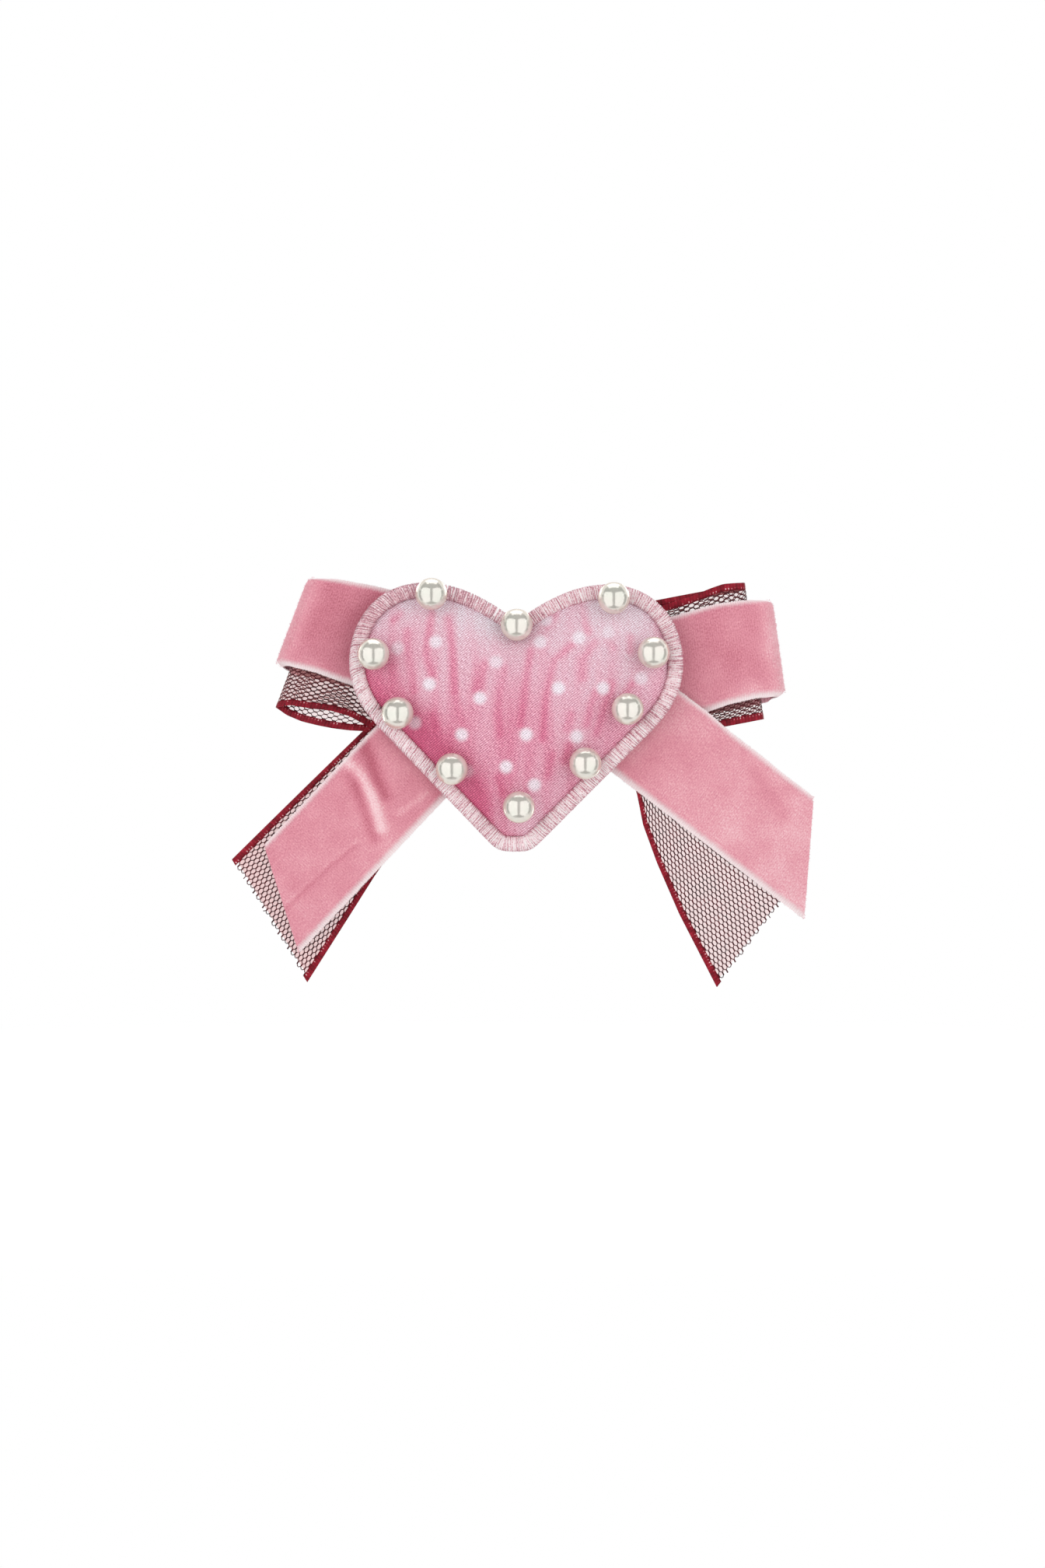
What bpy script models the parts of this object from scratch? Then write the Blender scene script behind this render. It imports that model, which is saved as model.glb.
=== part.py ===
"""Barrette: a velvet and net ribbon bow with a padded heart, on a steel spring clip.

Units are metres and +Z is up. The front of the bow faces -Y and +X is to the right.
The origin is the middle of the hair gap, between the clip's spring bar and its arm.
"""

import math

import bmesh
import bpy
from mathutils import Matrix, Vector
from mathutils.bvhtree import BVHTree

MM = 0.001

# Fits
SEAT_GAP = 0.3 * MM  # between pieces that rest on each other
PIN_CLEARANCE = 0.1 * MM  # round a pin, rivet, tack or stitch
LATCH_CLEARANCE = 0.2 * MM  # between the prongs' barbs and the arm's window

# Clip: a base plate with a spring bar, and an arm that closes over the hair
CLIP_LENGTH = 80.0 * MM
CLIP_WIDTH = 9.5 * MM
CLIP_CORNER = 1.0 * MM
PLATE_THICKNESS = 0.8 * MM
HAIR_GAP = 5.0 * MM
BAR_THICKNESS = 0.5 * MM
BAR_WIDTH = 5.0 * MM
BAR_RISE = 3.0 * MM  # plate to bar, in the middle
BAR_INSET = 9.0 * MM  # bar's end from the plate's end
BAR_FOOT = 4.0 * MM
KEEPER_LENGTH = 2.4 * MM
KEEPER_WALL = 0.6 * MM
ARM_THICKNESS = 0.9 * MM
ARM_OVERHANG = 1.5 * MM  # arm's tip past the plate's end
FINGER_LIFT = 1.6 * MM
FINGER_LENGTH = 3.2 * MM
PIN_RADIUS = 0.8 * MM
PIN_INSET = 3.5 * MM  # pin's axis from the plate's end
PIN_HEAD_RADIUS = 1.3 * MM
PIN_HEAD = 0.5 * MM
KNUCKLE_WALL = 0.8 * MM
KNUCKLE_PROUD = 0.15 * MM  # knuckle's back past the arm's back
LUG_WIDTH = 5.0 * MM
LUG_SETBACK = 0.2 * MM  # lugs stand in from the plate's sides
LATCH_INSET = 5.5 * MM  # latch's middle from the plate's end
LATCH_BASE_LENGTH = 6.0 * MM
LATCH_BASE_THICKNESS = 0.6 * MM
PRONG_WIDTH = 3.0 * MM
PRONG_THICKNESS = 0.6 * MM
PRONG_GAP = 3.0 * MM  # between the two prongs
PRONG_REACH = 2.6 * MM  # prong's tip past the arm
BARB_DEPTH = 0.35 * MM
BARB_FLAT = 0.3 * MM
RIVET_RADIUS = 0.7 * MM
RIVET_HEAD_RADIUS = 1.15 * MM
RIVET_HEAD = 0.4 * MM

# Felt between the clip and the bow
PAD_LENGTH = 50.0 * MM
PAD_MARGIN = 3.75 * MM  # pad past each side of the plate
PAD_THICKNESS = 1.0 * MM

# Ribbons
VELVET_WIDTH = 25.0 * MM
VELVET_THICKNESS = 0.9 * MM
NET_WIDTH = 34.5 * MM
NET_THICKNESS = 0.4 * MM
NET_EDGE_WIDTH = 2.0 * MM  # woven satin edge of the net ribbon
NET_GATHERED_WIDTH = 18.0 * MM  # net tail at its gathered upper end
LOOP_INNER = 5.0 * MM  # loops' inner ends from the middle
FOLD_LENGTH = 3.0 * MM
FLARE_MARGIN = 2.5 * MM  # back layers stay flat this far past the clip's end
FLARE_EASE = 4.0 * MM
DRAPE_START = 42.0 * MM  # ribbons curve back beyond this far from the middle
DRAPE_RADIUS = 160.0 * MM
STITCH_RADIUS = 0.5 * MM
STITCH_KNOT_RADIUS = 1.2 * MM
STITCH_KNOT = 0.5 * MM
STITCH_INSET = 6.0 * MM  # stitches in from the pad's ends
STITCH_MARGIN = 0.5 * MM  # between a knot and the plate's side

# Loops: tilt of the axis above level, slant of the fold from square, both as seen in front
LEFT_LOOP_REACH = 51.3 * MM
LEFT_LOOP_HEIGHT = -1.2 * MM
LEFT_LOOP_TILT = math.radians(14.0)
LEFT_LOOP_SLANT = math.radians(6.7)
LEFT_LOOP_FLARE = math.radians(31.0)  # slope of the back layer beyond the clip
LEFT_NET_SETBACK = 2.1 * MM
LEFT_NET_DROP = 4.8 * MM
LEFT_NET_SAG = 3.0 * MM  # back layer hangs below the front one
RIGHT_LOOP_REACH = 61.9 * MM
RIGHT_LOOP_HEIGHT = -6.5 * MM
RIGHT_LOOP_TILT = math.radians(11.0)
RIGHT_LOOP_SLANT = math.radians(-3.0)
RIGHT_LOOP_FLARE = math.radians(13.2)
RIGHT_NET_SETBACK = 6.0 * MM
RIGHT_NET_DROP = 0.0 * MM
RIGHT_NET_SAG = 0.0 * MM

# Tails: start of the axis, its fall below level, skew of the cut end from square
LEFT_TAIL_X = 0.0 * MM
LEFT_TAIL_Z = 4.0 * MM
LEFT_TAIL_LENGTH = 85.6 * MM
LEFT_TAIL_FALL = math.radians(46.5)
LEFT_TAIL_CUT = math.radians(28.9)
RIGHT_TAIL_X = 4.0 * MM
RIGHT_TAIL_Z = 4.9 * MM
RIGHT_TAIL_LENGTH = 87.3 * MM
RIGHT_TAIL_FALL = math.radians(36.8)
RIGHT_TAIL_CUT = math.radians(34.0)
LEFT_NET_TAIL_X = -5.6 * MM
LEFT_NET_TAIL_Z = 3.5 * MM
LEFT_NET_TAIL_LENGTH = 88.0 * MM
LEFT_NET_TAIL_FALL = math.radians(49.9)
LEFT_NET_TAIL_CUT = math.radians(18.6)
RIGHT_NET_TAIL_X = 17.3 * MM
RIGHT_NET_TAIL_Z = 10.0 * MM
RIGHT_NET_TAIL_LENGTH = 88.0 * MM
RIGHT_NET_TAIL_FALL = math.radians(59.5)
RIGHT_NET_TAIL_CUT = math.radians(22.0)

# Heart, seen from the front, heights from the middle of the clip
HEART_WIDTH = 83.4 * MM
HEART_LOBE_TOP = 20.8 * MM
HEART_LOBE_PITCH = 45.2 * MM  # between the tops of the two lobes
HEART_CLEFT = 11.8 * MM
HEART_SIDE = 0.8 * MM
HEART_TIP = -46.2 * MM
HEART_TIP_ROUND = 7.1 * MM  # half width of the rounded tip
HEART_FLANK_TOP = 33.8 * MM  # half width where the straight flanks start
HEART_FLANK_HEIGHT = -15.9 * MM
HEART_TIP_RISE = 3.0 * MM  # height of the rounded tip
HEART_TILT = math.radians(0.6)
# Handles of the outline's curves, as shares of the span they bend
CLEFT_HANDLE = 0.1
LOBE_INNER_HANDLE = 0.5
LOBE_OUTER_HANDLE = 0.62
SIDE_UPPER_HANDLE = 0.56
SIDE_LOWER_HANDLE = 0.45
FLANK_TOP_HANDLE = 0.14
FLANK_HANDLE = 0.3
TIP_HANDLE = 0.1
HEART_BORDER = 4.0 * MM  # thickness of the embroidered edge
HEART_PUFF = 9.0 * MM
DOME_FULLNESS = 0.9
DOME_TOP = -6.0 * MM  # height of the padded heart's highest point
BACKING_THICKNESS = 1.2 * MM
COVER_THICKNESS = 0.4 * MM

# Pearls, each on a tack through the heart
PEARL_DIAMETER = 8.0 * MM
TACK_RADIUS = 0.5 * MM
TACK_FLANGE_RADIUS = 2.5 * MM
TACK_FLANGE = 0.6 * MM
# Distance of each pearl in from the edge
CLEFT_PEARL = 1.6 * MM
LEFT_LOBE_PEARL = 3.0 * MM
RIGHT_LOBE_PEARL = 3.5 * MM
LEFT_SIDE_PEARL = 6.0 * MM
RIGHT_SIDE_PEARL = 7.3 * MM
LEFT_FLANK_PEARL = 6.0 * MM
RIGHT_FLANK_PEARL = 8.2 * MM
LEFT_LOW_PEARL = 6.1 * MM
RIGHT_LOW_PEARL = 6.1 * MM
TIP_PEARL = 10.1 * MM
# Side of the heart, share of the way from cleft to tip, distance in
PEARL_PLACES = (
    (1, 0.0, CLEFT_PEARL),
    (-1, 0.19, LEFT_LOBE_PEARL),
    (1, 0.22, RIGHT_LOBE_PEARL),
    (-1, 0.44, LEFT_SIDE_PEARL),
    (1, 0.43, RIGHT_SIDE_PEARL),
    (-1, 0.62, LEFT_FLANK_PEARL),
    (1, 0.62, RIGHT_FLANK_PEARL),
    (-1, 0.78, LEFT_LOW_PEARL),
    (1, 0.76, RIGHT_LOW_PEARL),
    (1, 0.92, TIP_PEARL),
)

# Facets
HEART_STEPS = 6  # along each of the outline's curves
DOME_SHARES = (0.94, 0.86, 0.74, 0.56, 0.32)
ROUND_STEPS = 16
SMALL_ROUND_STEPS = 12
CORNER_STEPS = 4
LUG_STEPS = 8
BAR_STEPS = 16
BORDER_RESOLUTION = 2
PEARL_STEPS = 14
PEARL_RINGS = 9
SEAT_TRIES = 40
SHARP_ANGLE = math.radians(40.0)
WELD_DISTANCE = 1e-6
LOOP_STEPS = 36
FOLD_FROM = 6 / LOOP_STEPS  # front layer, fold and back layer share the steps
FOLD_TO = 18 / LOOP_STEPS
TAIL_STEPS = 12
ACROSS_STEPS = 2
CUT_MARGIN = 1.0 * MM  # cutters run this far past what they cut

# Depths along Y, worked out from the hair gap forwards
ARM_FRONT = HAIR_GAP / 2
ARM_BACK = ARM_FRONT + ARM_THICKNESS
ARM_MIDDLE = ARM_FRONT + ARM_THICKNESS / 2
BAR_MIDDLE = -HAIR_GAP / 2 - BAR_THICKNESS / 2
PLATE_BACK = -HAIR_GAP / 2 - BAR_THICKNESS - BAR_RISE
PLATE_FRONT = PLATE_BACK - PLATE_THICKNESS
LAYERS = (
    ("pad", PAD_THICKNESS),
    ("velvet_loop_back", VELVET_THICKNESS),
    ("net_loop_back", NET_THICKNESS),
    ("net_loop_front", NET_THICKNESS),
    ("velvet_loop_front", VELVET_THICKNESS),
    ("net_tail_left", NET_THICKNESS),
    ("net_tail_right", NET_THICKNESS),
    ("velvet_tail_right", VELVET_THICKNESS),
    ("velvet_tail_left", VELVET_THICKNESS),
    ("tack_heads", TACK_FLANGE),
    ("backing", BACKING_THICKNESS),
)


def layer_depths():
    """Middle of each layer of the bow, stacked forwards from the base plate."""
    depths = {}
    face = PLATE_FRONT
    for layer, thickness in LAYERS:
        depths[layer] = face - SEAT_GAP - thickness / 2
        face -= SEAT_GAP + thickness
    return depths


DEPTH = layer_depths()
HEART_BACK = DEPTH["backing"] + BACKING_THICKNESS / 2
HEART_SEAT = DEPTH["backing"] - BACKING_THICKNESS / 2 - SEAT_GAP
PAD_BACK = DEPTH["pad"] + PAD_THICKNESS / 2
PAD_WIDTH = CLIP_WIDTH + 2 * PAD_MARGIN
STITCH_X = PAD_LENGTH / 2 - STITCH_INSET
STITCH_Z = -CLIP_WIDTH / 2 - STITCH_MARGIN - STITCH_KNOT_RADIUS

# Clip places
PIN_X = -CLIP_LENGTH / 2 + PIN_INSET
KNUCKLE_RADIUS = PIN_RADIUS + PIN_CLEARANCE + KNUCKLE_WALL
PIN_Y = ARM_BACK + KNUCKLE_PROUD - KNUCKLE_RADIUS
ARM_WIDTH = CLIP_WIDTH - 2 * LUG_SETBACK - 2 * PLATE_THICKNESS - 2 * SEAT_GAP
LATCH_X = CLIP_LENGTH / 2 - LATCH_INSET
BAR_HALF = CLIP_LENGTH / 2 - BAR_INSET
PRONG_INNER = PRONG_GAP / 2
PRONG_OUTER = PRONG_INNER + PRONG_THICKNESS
PRONG_ROOT = PLATE_BACK + LATCH_BASE_THICKNESS + 2 * SEAT_GAP
PRONG_TIP = ARM_BACK + PRONG_REACH

for stale in list(bpy.data.objects):
    bpy.data.objects.remove(stale)
PARTS = bpy.data.collections.new("barrette")
CUTTERS = bpy.data.collections.new("cutters")
bpy.context.scene.collection.children.link(PARTS)
bpy.context.scene.collection.children.link(CUTTERS)


def material(name, color, roughness, metallic=0.0):
    made = bpy.data.materials.new(name)
    made.use_nodes = True
    shader = made.node_tree.nodes["Principled BSDF"]
    shader.inputs["Base Color"].default_value = (*color, 1.0)
    shader.inputs["Roughness"].default_value = roughness
    shader.inputs["Metallic"].default_value = metallic
    return made


STEEL = material("nickel plated steel", (0.55, 0.55, 0.56), 0.3, 1.0)
SPRING_STEEL = material("spring steel", (0.42, 0.42, 0.44), 0.35, 1.0)
VELVET = material("pink velvet", (0.66, 0.24, 0.32), 0.9)
NET = material("dark net", (0.08, 0.02, 0.025), 0.8)
EDGE = material("burgundy satin", (0.29, 0.012, 0.03), 0.45)
FELT = material("pink felt", (0.62, 0.25, 0.33), 0.95)
FILLING = material("polyester wadding", (0.8, 0.78, 0.76), 0.95)
SATIN = material("printed satin", (0.72, 0.25, 0.4), 0.35)
EMBROIDERY = material("pale pink thread", (0.75, 0.5, 0.58), 0.6)
PEARL = material("cream pearl", (0.82, 0.79, 0.7), 0.2)
THREAD = material("pink thread", (0.6, 0.2, 0.28), 0.8)


def add_object(name, mesh, paint):
    made = bpy.data.objects.new(name, mesh)
    PARTS.objects.link(made)
    if paint:
        mesh.materials.append(paint)
    return made


def mesh_from(shape, name):
    mesh = bpy.data.meshes.new(name)
    shape.to_mesh(mesh)
    shape.free()
    return mesh


def make_cutter(made):
    made.hide_render = True
    made.display_type = "WIRE"
    PARTS.objects.unlink(made)
    CUTTERS.objects.link(made)
    return made


def box(name, low, high, paint=None):
    low = Vector(low)
    high = Vector(high)
    shape = bmesh.new()
    bmesh.ops.create_cube(shape, size=1.0)
    bmesh.ops.scale(shape, vec=high - low, verts=shape.verts)
    bmesh.ops.translate(shape, vec=(low + high) / 2, verts=shape.verts)
    return add_object(name, mesh_from(shape, name), paint)


def rod(name, radius, start, end, steps=ROUND_STEPS):
    """A plain cylinder between two points, for holes and knuckles."""
    start = Vector(start)
    end = Vector(end)
    turn = (end - start).to_track_quat("Z", "Y").to_matrix().to_4x4()
    shape = bmesh.new()
    bmesh.ops.create_cone(
        shape,
        cap_ends=True,
        segments=steps,
        radius1=radius,
        radius2=radius,
        depth=(end - start).length,
        matrix=Matrix.Translation((start + end) / 2) @ turn,
    )
    made = add_object(name, mesh_from(shape, name), None)
    made.data.shade_smooth()
    made.data.set_sharp_from_angle(angle=SHARP_ANGLE)
    return made


def turned(name, profile, place, paint, steps=SMALL_ROUND_STEPS):
    """A turned piece: (radius, height) points from the top down, about the local Z axis."""
    mesh = bpy.data.meshes.new(name)
    points = [(radius, 0.0, height) for radius, height in profile]
    mesh.from_pydata(points, [(i, i + 1) for i in range(len(points) - 1)], [])
    made = add_object(name, mesh, paint)
    made.matrix_world = place
    screw = made.modifiers.new("turn", "SCREW")
    screw.steps = steps
    screw.render_steps = steps
    screw.use_merge_vertices = True
    screw.merge_threshold = WELD_DISTANCE
    made.data.shade_smooth()
    return made


def flat_solid(name, outline, thickness, place, paint=None):
    """A closed outline in the local XY plane, thickened evenly along the local Z axis."""
    curve = bpy.data.curves.new(name, "CURVE")
    curve.dimensions = "2D"
    curve.fill_mode = "BOTH"
    curve.extrude = thickness / 2
    spline = curve.splines.new("POLY")
    spline.points.add(len(outline) - 1)
    for point, (x, y) in zip(spline.points, outline):
        point.co = (x, y, 0.0, 1.0)
    spline.use_cyclic_u = True
    return solid_from_curve(name, curve, place, paint)


def solid_from_curve(name, curve, place, paint):
    guide = bpy.data.objects.new(name + " guide", curve)
    bpy.context.scene.collection.objects.link(guide)
    graph = bpy.context.evaluated_depsgraph_get()
    mesh = bpy.data.meshes.new_from_object(guide.evaluated_get(graph))
    bpy.data.objects.remove(guide)
    shape = bmesh.new()
    shape.from_mesh(mesh)
    bmesh.ops.remove_doubles(shape, verts=shape.verts, dist=WELD_DISTANCE)
    bmesh.ops.recalc_face_normals(shape, faces=shape.faces)
    bpy.data.meshes.remove(mesh)
    made = add_object(name, mesh_from(shape, name), paint)
    made.matrix_world = place
    return made


def combine(target, other, operation="DIFFERENCE"):
    change = target.modifiers.new(other.name, "BOOLEAN")
    change.operation = operation
    change.solver = "MANIFOLD"
    change.object = other


def cut(target, *cutters):
    for cutter in cutters:
        combine(target, cutter)


def join(target, *others):
    for other in others:
        combine(target, make_cutter(other), "UNION")


def move_origin(made, point):
    """Puts a moving piece's origin on its joint's axis."""
    made.data.transform(Matrix.Translation(-Vector(point)))
    made.location = point


# Local X, Y to world X, Z, so that an outline faces the front
FACING = Matrix.Rotation(math.pi / 2, 4, "X")


def rounded_rectangle(length, width, corner):
    points = []
    for quarter in range(4):
        center_x = (length / 2 - corner) * (1, -1, -1, 1)[quarter]
        center_y = (width / 2 - corner) * (1, 1, -1, -1)[quarter]
        for step in range(CORNER_STEPS + 1):
            angle = math.pi / 2 * (quarter + step / CORNER_STEPS)
            points.append((center_x + corner * math.cos(angle), center_y + corner * math.sin(angle)))
    return points


def strip_outline(path, thickness):
    """Outline of a bent strip of even thickness, along a path in X and Y."""
    sides = ([], [])
    for index, point in enumerate(path):
        before = path[max(index - 1, 0)]
        after = path[min(index + 1, len(path) - 1)]
        along = (Vector(after) - Vector(before)).normalized()
        across = Vector((-along.y, along.x)) * thickness / 2
        sides[0].append(Vector(point) - across)
        sides[1].append(Vector(point) + across)
    return sides[0] + sides[1][::-1]


# Clip


# Local X to world Z and local Z to world -X, so that an outline faces along the clip
ENDWAYS = Matrix.Rotation(-math.pi / 2, 4, "Y")


def keeper(side):
    """A bridge on the plate, over the foot of the spring bar."""
    inner = BAR_WIDTH / 2 + SEAT_GAP
    outer = inner + KEEPER_WALL
    foot = PLATE_BACK - PLATE_THICKNESS / 2
    ceiling = PLATE_BACK + BAR_THICKNESS + 2 * SEAT_GAP
    top = ceiling + KEEPER_WALL
    half = [(outer, foot), (outer, top), (-outer, top), (-outer, foot)]
    outline = half + [(-inner, foot), (-inner, ceiling), (inner, ceiling), (inner, foot)]
    middle = side * (BAR_HALF - BAR_FOOT / 2)
    place = Matrix.Translation((middle, 0.0, 0.0)) @ ENDWAYS
    return flat_solid(f"keeper {side}", outline, KEEPER_LENGTH, place)


def lug(side):
    """An ear of the plate, round about the pin."""
    outline = []
    for step in range(LUG_STEPS + 1):
        angle = math.pi * step / LUG_STEPS
        outline.append((PIN_X + LUG_WIDTH / 2 * math.cos(angle), PIN_Y + KNUCKLE_RADIUS * math.sin(angle)))
    foot = PLATE_BACK - PLATE_THICKNESS / 2
    outline += [(PIN_X - LUG_WIDTH / 2, foot), (PIN_X + LUG_WIDTH / 2, foot)]
    middle = side * (CLIP_WIDTH / 2 - LUG_SETBACK - PLATE_THICKNESS / 2)
    return flat_solid(f"lug {side}", outline, PLATE_THICKNESS, Matrix.Translation((0.0, 0.0, middle)))


def base_plate():
    plate = flat_solid(
        "base_plate",
        rounded_rectangle(CLIP_LENGTH, CLIP_WIDTH, CLIP_CORNER),
        PLATE_THICKNESS,
        Matrix.Translation((0.0, PLATE_FRONT + PLATE_THICKNESS / 2, 0.0)) @ FACING,
        STEEL,
    )
    reach = CLIP_WIDTH / 2 + CUT_MARGIN
    bore = rod("pin bore", PIN_RADIUS + PIN_CLEARANCE, (PIN_X, PIN_Y, -reach), (PIN_X, PIN_Y, reach))
    make_cutter(bore)
    join(plate, lug(-1), lug(1), keeper(-1), keeper(1))
    cut(plate, bore, rivet_hole())
    return bore


def rivet_hole():
    front = PLATE_FRONT - CUT_MARGIN
    back = PRONG_ROOT + CUT_MARGIN
    radius = RIVET_RADIUS + PIN_CLEARANCE
    return make_cutter(rod("rivet hole", radius, (LATCH_X, front, 0.0), (LATCH_X, back, 0.0)))


def spring_bar():
    """A bowed leaf spring, flat where its feet lie under the keepers."""
    seat = PLATE_BACK + SEAT_GAP + BAR_THICKNESS / 2
    arch = BAR_HALF - BAR_FOOT
    path = [(-BAR_HALF, seat)]
    for step in range(BAR_STEPS + 1):
        x = arch * (2 * step / BAR_STEPS - 1)
        path.append((x, seat + (BAR_MIDDLE - seat) * (1 + math.cos(math.pi * x / arch)) / 2))
    path.append((BAR_HALF, seat))
    bar = flat_solid("spring_bar", strip_outline(path, BAR_THICKNESS), BAR_WIDTH, Matrix(), SPRING_STEEL)
    bar.data.shade_smooth()
    bar.data.set_sharp_from_angle(angle=SHARP_ANGLE)


def clasp_arm(bore):
    """A flat arm with a rolled knuckle, a window for the latch and a lifted tip."""
    tip = CLIP_LENGTH / 2 + ARM_OVERHANG
    path = [
        (PIN_X, ARM_MIDDLE),
        (tip - FINGER_LENGTH, ARM_MIDDLE),
        (tip - FINGER_LENGTH / 2, ARM_MIDDLE + FINGER_LIFT / 4),
        (tip, ARM_MIDDLE + FINGER_LIFT),
    ]
    arm = flat_solid("clasp_arm", strip_outline(path, ARM_THICKNESS), ARM_WIDTH, Matrix(), STEEL)
    half = ARM_WIDTH / 2
    knuckle = rod("knuckle", KNUCKLE_RADIUS, (PIN_X, PIN_Y, -half), (PIN_X, PIN_Y, half))
    window_half = PRONG_OUTER + BARB_DEPTH + LATCH_CLEARANCE
    window_reach = PRONG_WIDTH / 2 + 2 * SEAT_GAP
    window = box(
        "latch window",
        (LATCH_X - window_reach, ARM_FRONT - CUT_MARGIN, -window_half),
        (LATCH_X + window_reach, ARM_BACK + CUT_MARGIN, window_half),
    )
    join(arm, knuckle)
    cut(arm, bore, make_cutter(window))
    axis = bpy.data.objects.new("arm axis", None)
    axis.location = (PIN_X, PIN_Y, 0.0)
    PARTS.objects.link(axis)
    bpy.context.view_layer.update()
    arm.parent = axis
    arm.matrix_parent_inverse = axis.matrix_world.inverted()


def hinge_pin():
    half = CLIP_WIDTH / 2 - LUG_SETBACK + SEAT_GAP
    profile = [
        (0.0, half + PIN_HEAD),
        (PIN_HEAD_RADIUS, half + PIN_HEAD),
        (PIN_HEAD_RADIUS, half),
        (PIN_RADIUS, half),
        (PIN_RADIUS, -half),
        (PIN_HEAD_RADIUS, -half),
        (PIN_HEAD_RADIUS, -half - PIN_HEAD),
        (0.0, -half - PIN_HEAD),
    ]
    turned("hinge_pin", profile, Matrix.Translation((PIN_X, PIN_Y, 0.0)), STEEL, ROUND_STEPS)


def latch():
    base_front = PLATE_BACK + SEAT_GAP
    base_back = base_front + LATCH_BASE_THICKNESS
    half = LATCH_BASE_LENGTH / 2
    base = box(
        "latch_base",
        (LATCH_X - half, base_front, -PRONG_OUTER),
        (LATCH_X + half, base_back, PRONG_OUTER),
        SPRING_STEEL,
    )
    cut(base, rivet_hole())
    rivet_back = base_back + SEAT_GAP
    rivet_front = PLATE_FRONT - SEAT_GAP
    profile = [
        (0.0, rivet_back + RIVET_HEAD),
        (RIVET_HEAD_RADIUS, rivet_back + RIVET_HEAD),
        (RIVET_HEAD_RADIUS, rivet_back),
        (RIVET_RADIUS, rivet_back),
        (RIVET_RADIUS, rivet_front),
        (RIVET_HEAD_RADIUS, rivet_front),
        (RIVET_HEAD_RADIUS, rivet_front - RIVET_HEAD),
        (0.0, rivet_front - RIVET_HEAD),
    ]
    along_y = Matrix.Translation((LATCH_X, 0.0, 0.0)) @ Matrix.Rotation(-math.pi / 2, 4, "X")
    turned("latch_rivet", profile, along_y, STEEL)
    for name, side in (("latch_prong_upper", 1), ("latch_prong_lower", -1)):
        latch_prong(name, side)


def latch_prong(name, side):
    """A springy leg with a barb behind the arm. Its origin is at the bend in its root."""
    barb = ARM_BACK + SEAT_GAP
    outline = [
        (PRONG_INNER, PRONG_ROOT),
        (PRONG_OUTER, PRONG_ROOT),
        (PRONG_OUTER, barb),
        (PRONG_OUTER + BARB_DEPTH, barb),
        (PRONG_OUTER + BARB_DEPTH, barb + BARB_FLAT),
        (PRONG_OUTER - PRONG_THICKNESS / 2, PRONG_TIP),
        (PRONG_INNER, PRONG_TIP),
    ]
    outline = [(side * z, y) for z, y in outline]
    prong = flat_solid(name, outline, PRONG_WIDTH, Matrix(), SPRING_STEEL)
    prong.data.transform(Matrix.Translation((LATCH_X, 0.0, 0.0)) @ ENDWAYS)
    move_origin(prong, (LATCH_X, PRONG_ROOT, side * (PRONG_INNER + PRONG_OUTER) / 2))


# Ribbons


def drape(x, z):
    """How far a ribbon has curved back at this place."""
    past = max(math.hypot(x, z) - DRAPE_START, 0.0)
    return past * past / (2 * DRAPE_RADIUS)


def band_limits(band, half):
    """Where a band of a ribbon lies across it, from the ribbon's half width."""
    inner = half - NET_EDGE_WIDTH
    return {
        "whole": (-half, half),
        "middle": (-inner + SEAT_GAP, inner - SEAT_GAP),
        "upper": (inner, half),
        "lower": (-half, -inner),
    }[band]


def ribbon(name, surface, along_steps, thickness, paint):
    """A strip over surface(along, across), both from 0 to 1, thickened evenly."""
    shape = bmesh.new()
    bmesh.ops.create_grid(shape, x_segments=along_steps, y_segments=ACROSS_STEPS, size=0.5)
    for vert in shape.verts:
        vert.co = surface(vert.co.x + 0.5, vert.co.y + 0.5)
    made = add_object(name, mesh_from(shape, name), paint)
    made.data.shade_smooth()
    made.data.set_sharp_from_angle(angle=SHARP_ANGLE)
    solid = made.modifiers.new("thickness", "SOLIDIFY")
    solid.thickness = thickness
    solid.offset = 0.0
    solid.use_even_offset = True
    return made


class Loop:
    """A loop of ribbon: a front layer, a fold at the outer end and a back layer."""

    def __init__(self, side, shape, width, fabric, setback=0.0, drop=0.0, sag=0.0):
        reach, height, tilt, slant, flare = shape
        self.fold_start = reach - setback - FOLD_LENGTH
        self.start = Vector((side * LOOP_INNER, height))
        self.axis = Vector((side * math.cos(tilt), math.sin(tilt)))
        self.fold = Vector((-side * math.sin(tilt + slant), math.cos(tilt + slant)))
        self.half = width / 2 / math.cos(slant)
        self.drop = drop
        self.sag = sag
        self.front = DEPTH[fabric + "_loop_front"]
        self.back = DEPTH[fabric + "_loop_back"]
        self.flare = math.tan(flare)
        self.flare_start = (CLIP_LENGTH / 2 + FLARE_MARGIN - LOOP_INNER) / math.cos(tilt)

    def back_depth(self, out):
        """Depth of the back layer, which leaves the clip's plane beyond the clip's end."""
        past = max(out - self.flare_start, 0.0)
        return self.back + self.flare * past * past / (past + FLARE_EASE)

    def section(self, along):
        """Distance out, depth and sag at this share of the loop's path."""
        if along < FOLD_FROM:
            return self.fold_start * along / FOLD_FROM, self.front, 0.0
        if along > FOLD_TO:
            share = 1 - ((along - FOLD_TO) / (1 - FOLD_TO)) ** 2
            out = self.fold_start * share
            return out, self.back_depth(out), self.sag * math.sin(math.pi * share)
        turn = math.pi * (along - FOLD_FROM) / (FOLD_TO - FOLD_FROM)
        out = self.fold_start + FOLD_LENGTH * math.sin(turn)
        fold_back = self.back_depth(self.fold_start)
        middle = (self.front + fold_back) / 2
        return out, middle - (fold_back - self.front) / 2 * math.cos(turn), 0.0

    def surface(self, band):
        low, high = band_limits(band, self.half)

        def place(along, across):
            out, depth, sag = self.section(along)
            width = low + (high - low) * across - self.drop - sag
            flat = self.start + self.axis * out + self.fold * width
            return Vector((flat.x, depth + drape(flat.x, flat.y), flat.y))

        return place


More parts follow.
